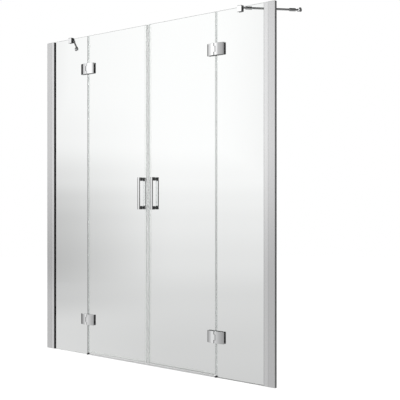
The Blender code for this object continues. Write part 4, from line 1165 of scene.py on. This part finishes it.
for half, words, body in HALVES:
    fit_hinges(hinge_plate(half), f"hinge_{words}_plate", chrome, body,
               f"hinge_{words}_plate_LEVEL_{{side}}")
    fit_hinges(hinge_screws(half), f"hinge_{words}_screws", steel, body)
    fit_hinges(hinge_pad(half, -1), f"hinge_{words}_outer_pad", upright_vinyl, body)
    fit_hinges(hinge_pad(half, 1), f"hinge_{words}_inner_pad", upright_vinyl, body)

# %% [markdown]
# The pin is a steel bar with domed ends, a hair below the ends of the knuckles. White nylon
# washers keep chrome from turning on chrome.

# %% Pins and washers
PIN_SETBACK = 0.0008
PIN_ROUND = 0.0006
WASHER_SETBACK = 0.0006
WASHER_BORE = PIN_RADIUS + 2 * SHADOW_GAP
pin = pin_bar("pin", PIN_RADIUS, PIN_SETBACK - HINGE_HALF, HINGE_HALF - PIN_SETBACK)
fit_hinges(soften(pin, PIN_ROUND), "hinge_pin", steel, "frame", "hinge_pin_LEVEL_{side}")

washers = []
for side in (-1, 1):
    low, high = sorted((side * (MIDDLE_HALF + FIT), side * (MIDDLE_HALF + FIT + WASHER)))
    washer = pin_bar("washer", KNUCKLE - WASHER_SETBACK, low, high)
    washers.append(cut(washer, pin_bar("bore", WASHER_BORE, -HINGE_HALF, HINGE_HALF)))
fit_hinges(gather("washers", washers), "hinge_washers", nylon, "frame")

# %% [markdown]
# ## Seals
# Each door carries three clear seals that keep the water in. They are soft extrusions pushed onto
# the edges of its glass: two legs grip the faces, and the part beyond the edge does the sealing.
# Each starts as its web, and the legs and the rest are pulled out of it. Where the doors meet, the
# part beyond the edge is a tube with a flat strip of magnet in it.

# %% Closing seals and their magnets
seal_low, seal_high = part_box("closing_seal_right")
SEAL_WALL = 0.0010
SEAL_OUT = GLASS_FACE + SEAL_WALL
TUBE_HALF = 0.0045
TUBE_LENGTH = 0.010
SEAL_ROUND = 0.0003
tube_end = seal_low.x + TUBE_LENGTH
web_end = tube_end + SEAL_WALL
hollow = TUBE_HALF - SEAL_WALL
seal = block("seal", (tube_end, -SEAL_OUT, seal_low.z), (web_end, SEAL_OUT, seal_high.z))
slice_across(seal, "Y", (-TUBE_HALF, -GLASS_FACE, GLASS_FACE, TUBE_HALF))
pull(seal, (seal_high.x - web_end, 0, 0), lambda centre: abs(centre.y) > GLASS_FACE)
pull(seal, (seal_low.x - tube_end, 0, 0), lambda centre: abs(centre.y) < TUBE_HALF)
cut(seal, block("hollow", (seal_low.x + SEAL_WALL, -hollow, seal_low.z - OVERRUN),
                (tube_end, hollow, seal_high.z + OVERRUN)))
soften(seal, SEAL_ROUND, 2)
seal.visible_shadow = False
fit_pair(seal, "closing_seal", upright_vinyl, "door_{side}", "closing_seal_{side}")

magnet = soften(block("magnet", *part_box("magnet_strip_right")), SEAL_ROUND, 2)
fit_pair(magnet, "magnet_strip", pale_magnet, "door_{side}", "magnet_strip_{side}")

# %% [markdown]
# The seal on the hinge side has a round bulb that fills the gap between door and fixed pane. It is
# one length, notched where a hinge clamps the glass. Its legs on the glass are thin and clear, and
# the bulb is milkier, because it is thicker.

# %% Hinge-side seals
edge_low, edge_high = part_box("hinge_seal_right")
DOOR_LOW, DOOR_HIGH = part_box("door_pane_right")
BULB_HALF = 0.003
BULB_ROUND = BULB_HALF * 0.8
NOTCH_HALF = HINGE_HALF + 0.0006
NOTCH_FLOOR = PANE_HALF + 0.0001
edge_web = DOOR_HIGH.x + FIT
edge_seal = block("seal", (edge_web, -SEAL_OUT, edge_low.z),
                  (edge_web + SEAL_WALL, SEAL_OUT, edge_high.z))
slice_across(edge_seal, "Y", (-GLASS_FACE, -BULB_HALF, BULB_HALF, GLASS_FACE))
pull(edge_seal, (edge_low.x - edge_web, 0, 0), lambda centre: abs(centre.y) > GLASS_FACE)
pull(edge_seal, (edge_high.x - edge_web - SEAL_WALL, 0, 0), lambda centre: abs(centre.y) < BULB_HALF)
round_edges(edge_seal, BULB_ROUND, 5, "Z", lambda at: at.x > edge_high.x - SHADOW_GAP)
for height in HINGE_Z.values():
    for side in (-1, 1):
        start = (edge_low.x - OVERRUN, side * NOTCH_FLOOR, height - NOTCH_HALF)
        end = (edge_high.x + OVERRUN, side * (SEAL_OUT + OVERRUN), height + NOTCH_HALF)
        cut(edge_seal, block("notch", start, end))
second_finish(edge_seal, thin_vinyl, milky_vinyl,
              lambda face: face.calc_center_median().x > edge_web - SHADOW_GAP)
edge_seal.visible_shadow = False
fit_pair(edge_seal, "hinge_seal", None, "door_{side}", "hinge_seal_{side}")

# %% [markdown]
# The drip seal hangs under the door, with a fin in the middle that wipes the threshold and a
# slanted fin on the shower side that sheds the water. The fixed panes stand on plain clear strips.

# %% Drip seals and base strips
drip_low, drip_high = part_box("drip_seal_right")
DRIP_FIN_DROP = 0.0040
fin_half = SEAL_WALL / 2
web_top = DOOR_LOW.z - FIT
web_low = web_top - SEAL_WALL
drip = block("drip", (drip_low.x, -SEAL_OUT, web_low), (drip_high.x, SEAL_OUT, web_top))
slice_across(drip, "Y", (-GLASS_FACE, -fin_half, fin_half, GLASS_FACE))
pull(drip, (0, 0, drip_high.z - web_top), lambda centre: abs(centre.y) > GLASS_FACE)
pull(drip, (0, 0, drip_low.z - web_low), lambda centre: abs(centre.y) < fin_half)
pull(drip, (0, drip_high.y - SEAL_OUT, -DRIP_FIN_DROP),
     lambda centre: centre.y > GLASS_FACE and centre.z < web_top)
soften(drip, SEAL_ROUND, 2)
drip.visible_shadow = False
fit_pair(drip, "drip_seal", level_vinyl, "door_{side}", "drip_seal_{side}")

strip = soften(block("strip", *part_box("base_strip_right")), SEAL_ROUND, 2)
strip.visible_shadow = False
fit_pair(strip, "base_strip", level_vinyl, "frame", "base_strip_{side}")

# %% [markdown]
# ## Threshold
# A low anodised aluminium bar across the doorway turns water back into the shower. It starts as a
# low block, and its upper part is pulled up and drawn in from both sides, so that it slopes. Its
# two crests are rounded. A dark plastic block ends it under each hinge line.

# %% Threshold bar and end caps
TOE = 0.0015
CREST_SHARE = 0.35
CREST_ROUND = 0.0018
BAR_ROUND = 0.0002
END_ROUND = 0.0008


def sloped(name, low, high, knee):
    """A block up to its knee, and above it a part that narrows towards the middle line."""
    item = block(name, low, (high.x, high.y, knee))
    pull(item, (0, 0, high.z - knee))
    open_with(item, "FACE", lambda face: face.normal.z > FACING)
    bpy.ops.transform.resize(value=(1, CREST_SHARE, 1), center_override=(0, 0, 0))
    close()
    return item


bar_low, bar_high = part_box("threshold_bar")
threshold = sloped("threshold", bar_low, bar_high, TOE)
round_edges(threshold, CREST_ROUND, 5, "X", lambda at: at.z > bar_high.z - SHADOW_GAP)
soften(threshold, BAR_ROUND, 2)
# the threshold's pale finish is partly painted reflection of the pale ground in front of it
fit(threshold, "threshold_rail", level_aluminium_painted_reflection, "frame", "threshold_bar")

end_cap = soften(sloped("end", *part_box("threshold_end_cap_right"), bar_high.z), END_ROUND)
fit_pair(end_cap, "threshold_end", dark_plastic, "frame", "threshold_end_cap_{side}")

# %% [markdown]
# ## Handles
# Each door has a pair of C-shaped handles, one on each face of the glass, joined by two studs
# through it. The grip starts as a block that a wide upright cylinder crowns, as it does the hinge
# castings. The two feet are pulled out of its back towards the glass, and the back is rounded
# between them, where fingers close on it.

# %% Handles
HANDLE_BAR = 0.008
GRIP_CROWN = 0.0030
GRIP_SIDES = 360
GRIP_SOFT = 0.0042
HANDLE_INNER_ROUND = 0.0030
HANDLE_SOFT = 0.0008
HANDLE_PAD = 0.0090
STUD = 0.003


def handle(face, low, high):
    """The handle outside (-1) or inside (1) the door, between the corners of its box."""
    front = low.y if face < 0 else high.y
    grip = front - face * HANDLE_BAR
    item = block("handle", (low.x, front, low.z), (high.x, grip, high.z))
    crowned(item, HANDLE_X, front, GRIP_CROWN, (high.x - low.x) / 2, low.z, high.z, GRIP_SIDES)
    foot_low, foot_high = low.z + HANDLE_FOOT, high.z - HANDLE_FOOT
    slice_across(item, "Z", (foot_low, foot_high))
    pull(item, (0, face * METAL_FACE - grip, 0), lambda centre: not foot_low <= centre.z <= foot_high)
    round_edges(item, GRIP_SOFT, 4, "Z",
                lambda at: abs(at.y - grip) < SHADOW_GAP and foot_low < at.z < foot_high)
    round_edges(item, HANDLE_INNER_ROUND, 6, "X", lambda at: abs(at.y - grip) < SHADOW_GAP
                and min(abs(at.z - foot_low), abs(at.z - foot_high)) < SHADOW_GAP)
    weld(item, HANDLE_SOFT / 5)
    return soften(item, HANDLE_SOFT)


def stud_bars(name, radius, start, end):
    """A short bar at both studs, between two distances from the middle of the glass."""
    bars = [bar(name, radius, (HANDLE_X, start, z), (HANDLE_X, end, z)) for z in STUD_HEIGHTS]
    return gather(name, bars)


for face, word in ((-1, "outer"), (1, "inner")):
    made = handle(face, *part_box(f"handle_{word}_right"))
    fit_pair(made, f"{word}_handle", chrome, "door_{side}", f"handle_{word}_{{side}}")
    pads = stud_bars("pad", HANDLE_PAD, face * GLASS_FACE, face * METAL_FACE)
    fit_pair(pads, f"{word}_handle_pads", upright_vinyl, "door_{side}")
studs = stud_bars("stud", STUD, -METAL_FACE, METAL_FACE)
fit_pair(studs, "handle_studs", steel, "door_{side}")

# %% [markdown]
# ## Stabiliser arms
# A round rod runs level from the top of each fixed pane to the side wall and keeps the pane from
# swaying. Each end turns on an upright pin: a flat tongue on the rod's socket sits in a fork, and
# the fork belongs to the clamp on the glass or to the round foot on the wall.

# %% Arm sizes and directions
joints = {joint["name"]: joint for joint in frame["joints"]}
GLASS_PIVOT = Vector(joints["arm_swivel_right"]["pos_m"])
WALL_PIVOT = Vector(joints["arm_flange_swivel_right"]["pos_m"])
ARM = (WALL_PIVOT - GLASS_PIVOT).normalized()
ARM_TURN = math.atan2(ARM.y, ARM.x)
FORK_INNER = 0.0033
FORK_OUTER = 0.0073
FORK_RADIUS = 0.008
LUG_ROUND = 8 * SHADOW_GAP
PIVOT_RADIUS = 0.0025
PIVOT_SIDES = 32
PIVOT_HEAD = 0.0042
PIVOT_HEAD_HEIGHT = 0.0013
PIVOT_HEAD_DOME = PIVOT_HEAD_HEIGHT * 0.7
PIVOT_HEAD_SIDES = 40
print("arm", round((WALL_PIVOT - GLASS_PIVOT).length * 1000, 1), "mm between its pivots")


# %% Forks and pivots
def placed(item, turn, place):
    """Turn a piece about the upright axis, move it to its place, and settle it there."""
    item.rotation_euler.z = turn
    item.location = place
    only(item)
    bpy.ops.object.transform_apply(location=True, rotation=True, scale=True)
    return item


def upright_bar(radius, low, high, sides=BAR_SIDES):
    """An upright bar on the middle of a pivot."""
    return bar("bar", radius, (0, 0, low), (0, 0, high), sides)


def fork(back, turn, place):
    """Two lugs with round noses, rooted behind an upright pivot at the origin."""
    lugs = []
    for low, high in ((-FORK_OUTER, -FORK_INNER), (FORK_INNER, FORK_OUTER)):
        lug = block("lug", (-back, -FORK_RADIUS, low), (0, FORK_RADIUS, high))
        join(lug, upright_bar(FORK_RADIUS, low, high))
        lugs.append(placed(soften(lug, LUG_ROUND, 2), turn, place))
    return lugs


def pivot(place):
    """The riveted pin of a fork, with a low domed head above and below."""
    pin = upright_bar(PIVOT_RADIUS, -FORK_OUTER, FORK_OUTER, PIVOT_SIDES)
    crest = FORK_OUTER + PIVOT_HEAD_HEIGHT
    for face in (-1, 1):
        low, high = sorted((face * (FORK_OUTER + SHADOW_GAP), face * crest))
        head = upright_bar(PIVOT_HEAD, low - SHADOW_GAP, high, PIVOT_HEAD_SIDES)
        round_edges(head, PIVOT_HEAD_DOME, 4, None, lambda at: face * at.z > crest - 2 * SHADOW_GAP)
        join(pin, head)
    return placed(pin, 0, place)


# %% [markdown]
# The clamp is a block with a slot in its underside, over the top edge of the glass on a clear
# lining. A cup-point set screw from inside the shower presses the lining against the glass.

# %% Clamps
clamp_low, clamp_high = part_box("arm_clamp_right")
CLAMP_HALF = (clamp_high.x - clamp_low.x) / 2
CLAMP_X = GLASS_PIVOT.x
CLAMP_BACK = -clamp_low.y
CLAMP_LOW = clamp_low.z
CLAMP_RISE = 0.008
CLAMP_ROUND = 0.0030
CLAMP_SOFT = 0.0008
SLOT_TOP = GLASS_PIVOT.z + 0.0013
SET_SCREW_HEIGHT = CLAMP_LOW + 0.007
SET_SCREW_RADIUS = 0.0025
SET_SCREW_SOCKET = 0.0013
SET_SCREW_ROUND = 0.0002
SCREW_HOLE_DEPTH = 0.0025
SET_SCREW_SETBACK = 0.0006
SET_SOCKET_DEPTH = 0.0020
LINING_WALL = 0.001


def clamp_block(name, half, depth, low, high):
    """A block across the top edge of the glass at the clamp."""
    return block(name, (CLAMP_X - half, -depth, low), (CLAMP_X + half, depth, high))


def set_screw_bar(name, radius, start, end, sides=PIVOT_SIDES):
    """A bar on the line of the set screw, between two depths below the clamp's face."""
    near, far = ((CLAMP_X, CLAMP_BACK - depth, SET_SCREW_HEIGHT) for depth in (start, end))
    return bar(name, radius, near, far, sides)


clamp = clamp_block("clamp", CLAMP_HALF, CLAMP_BACK, CLAMP_LOW, GLASS_PIVOT.z + CLAMP_RISE)
cut(clamp, clamp_block("slot", CLAMP_HALF + OVERRUN, METAL_FACE, CLAMP_LOW - OVERRUN, SLOT_TOP))
round_edges(clamp, CLAMP_ROUND, 6, "X", lambda at: abs(at.y) > CLAMP_BACK - SHADOW_GAP)
soften(clamp, CLAMP_SOFT)
join(clamp, *fork(GLASS_PIVOT.y - CLAMP_BACK + CLAMP_BACK / 4, math.pi / 2, GLASS_PIVOT))
cut(clamp, set_screw_bar("drill", SET_SCREW_RADIUS, SCREW_HOLE_DEPTH, -OVERRUN))
fit_pair(clamp, "arm_clamp", chrome, "frame", "arm_clamp_{side}")

set_screw = set_screw_bar("screw", SET_SCREW_RADIUS - 2 * SHADOW_GAP,
                          SCREW_HOLE_DEPTH, SET_SCREW_SETBACK)
soften(set_screw, SET_SCREW_ROUND, 2)
cut(set_screw, set_screw_bar("socket", SET_SCREW_SOCKET, SET_SOCKET_DEPTH, -OVERRUN, HEXAGON))
fit_pair(set_screw, "clamp_set_screw", steel, "frame")

lining = clamp_block("lining", CLAMP_HALF - LINING_WALL, METAL_FACE, CLAMP_LOW + LINING_WALL, SLOT_TOP)
cut(lining, clamp_block("slot", CLAMP_HALF, GLASS_FACE, CLAMP_LOW, SLOT_TOP - LINING_WALL))
fit_pair(lining, "clamp_lining", level_vinyl, "frame")
fit_pair(pivot(GLASS_PIVOT), "clamp_pivot", steel, "frame")

# %% [markdown]
# The sockets are turned bars with a milled tongue, the rod is a plain bar, and the foot on the
# wall is a low disc with the same fork as the clamp.

# %% Sockets, rods and wall feet
ROD_RADIUS = 0.0055
ROD_SIDES = 64
SOCKET_RADIUS = 0.0085
SOCKET_START = 0.016
SOCKET_END = 0.051
SOCKET_FLOOR = 0.027
SOCKET_ROUND = 0.0012
TONGUE_HALF = 0.003
TONGUE_SIDE = 0.0055
EYE_RADIUS = 0.0075
EYE_BORE = PIVOT_RADIUS + 0.0002
EYE_SIDES = 40


def arm_socket(place, turn):
    """A socket and its tongue, modelled from the pivot outward and then put in place."""
    item = bar("socket", SOCKET_RADIUS, (SOCKET_START, 0, 0), (SOCKET_END, 0, 0), ROD_SIDES)
    round_edges(item, SOCKET_ROUND, 4, None,
                lambda at: not SOCKET_START + SHADOW_GAP < at.x < SOCKET_END - SHADOW_GAP)
    start, end = (SOCKET_FLOOR, 0, 0), (SOCKET_END + OVERRUN, 0, 0)
    cut(item, bar("bore", ROD_RADIUS + FIT, start, end, ROD_SIDES))
    root = (SOCKET_START + SOCKET_FLOOR) / 2
    tongue = block("tongue", (0, -TONGUE_SIDE, -TONGUE_HALF), (root, TONGUE_SIDE, TONGUE_HALF))
    join(tongue, upright_bar(EYE_RADIUS, -TONGUE_HALF, TONGUE_HALF))
    join(item, soften(tongue, LUG_ROUND, 2))
    cut(item, upright_bar(EYE_BORE, -FORK_INNER, FORK_INNER, EYE_SIDES))
    return placed(item, turn, place)


for word, place, turn in (("glass", GLASS_PIVOT, ARM_TURN), ("wall", WALL_PIVOT, ARM_TURN + math.pi)):
    fit_pair(arm_socket(place, turn), f"arm_{word}_socket", chrome, "arm_{side}",
             f"arm_{word}_socket_{{side}}")
reach = ARM * (SOCKET_FLOOR + FIT)
rod = bar("rod", ROD_RADIUS, GLASS_PIVOT + reach, WALL_PIVOT - reach, ROD_SIDES)
fit_pair(rod, "arm_rod", chrome, "arm_{side}", "arm_rod_{side}")

FLANGE_RADIUS = 0.012
FLANGE_THICKNESS = 0.0055
FLANGE_ROUND = 0.0010
flange_face = Vector((WALL_X - FLANGE_THICKNESS, WALL_PIVOT.y, WALL_PIVOT.z))
foot = bar("foot", FLANGE_RADIUS, (WALL_X, WALL_PIVOT.y, WALL_PIVOT.z), flange_face, ROD_SIDES)
round_edges(foot, FLANGE_ROUND, 4, None, lambda at: at.x < flange_face.x + SHADOW_GAP)
join(foot, *fork(WALL_X - FLANGE_THICKNESS / 2 - WALL_PIVOT.x, math.pi, WALL_PIVOT))
fit_pair(foot, "arm_wall_flange", chrome, "arm_flange_{side}", "arm_wall_flange_{side}")
fit_pair(pivot(WALL_PIVOT), "flange_pivot", steel, "arm_flange_{side}")

# %% [markdown]
# ## Sizes
# The dressed door is meant to stay inside the imported model's box; the count of its pieces and
# faces is printed, with that box beside it.

# %% Sizes
print(len(FITTED), "pieces", sum(len(item.data.polygons) for item in FITTED), "faces")
print("cad", [round(v, 5) for corner in CAD_BOX for v in corner])
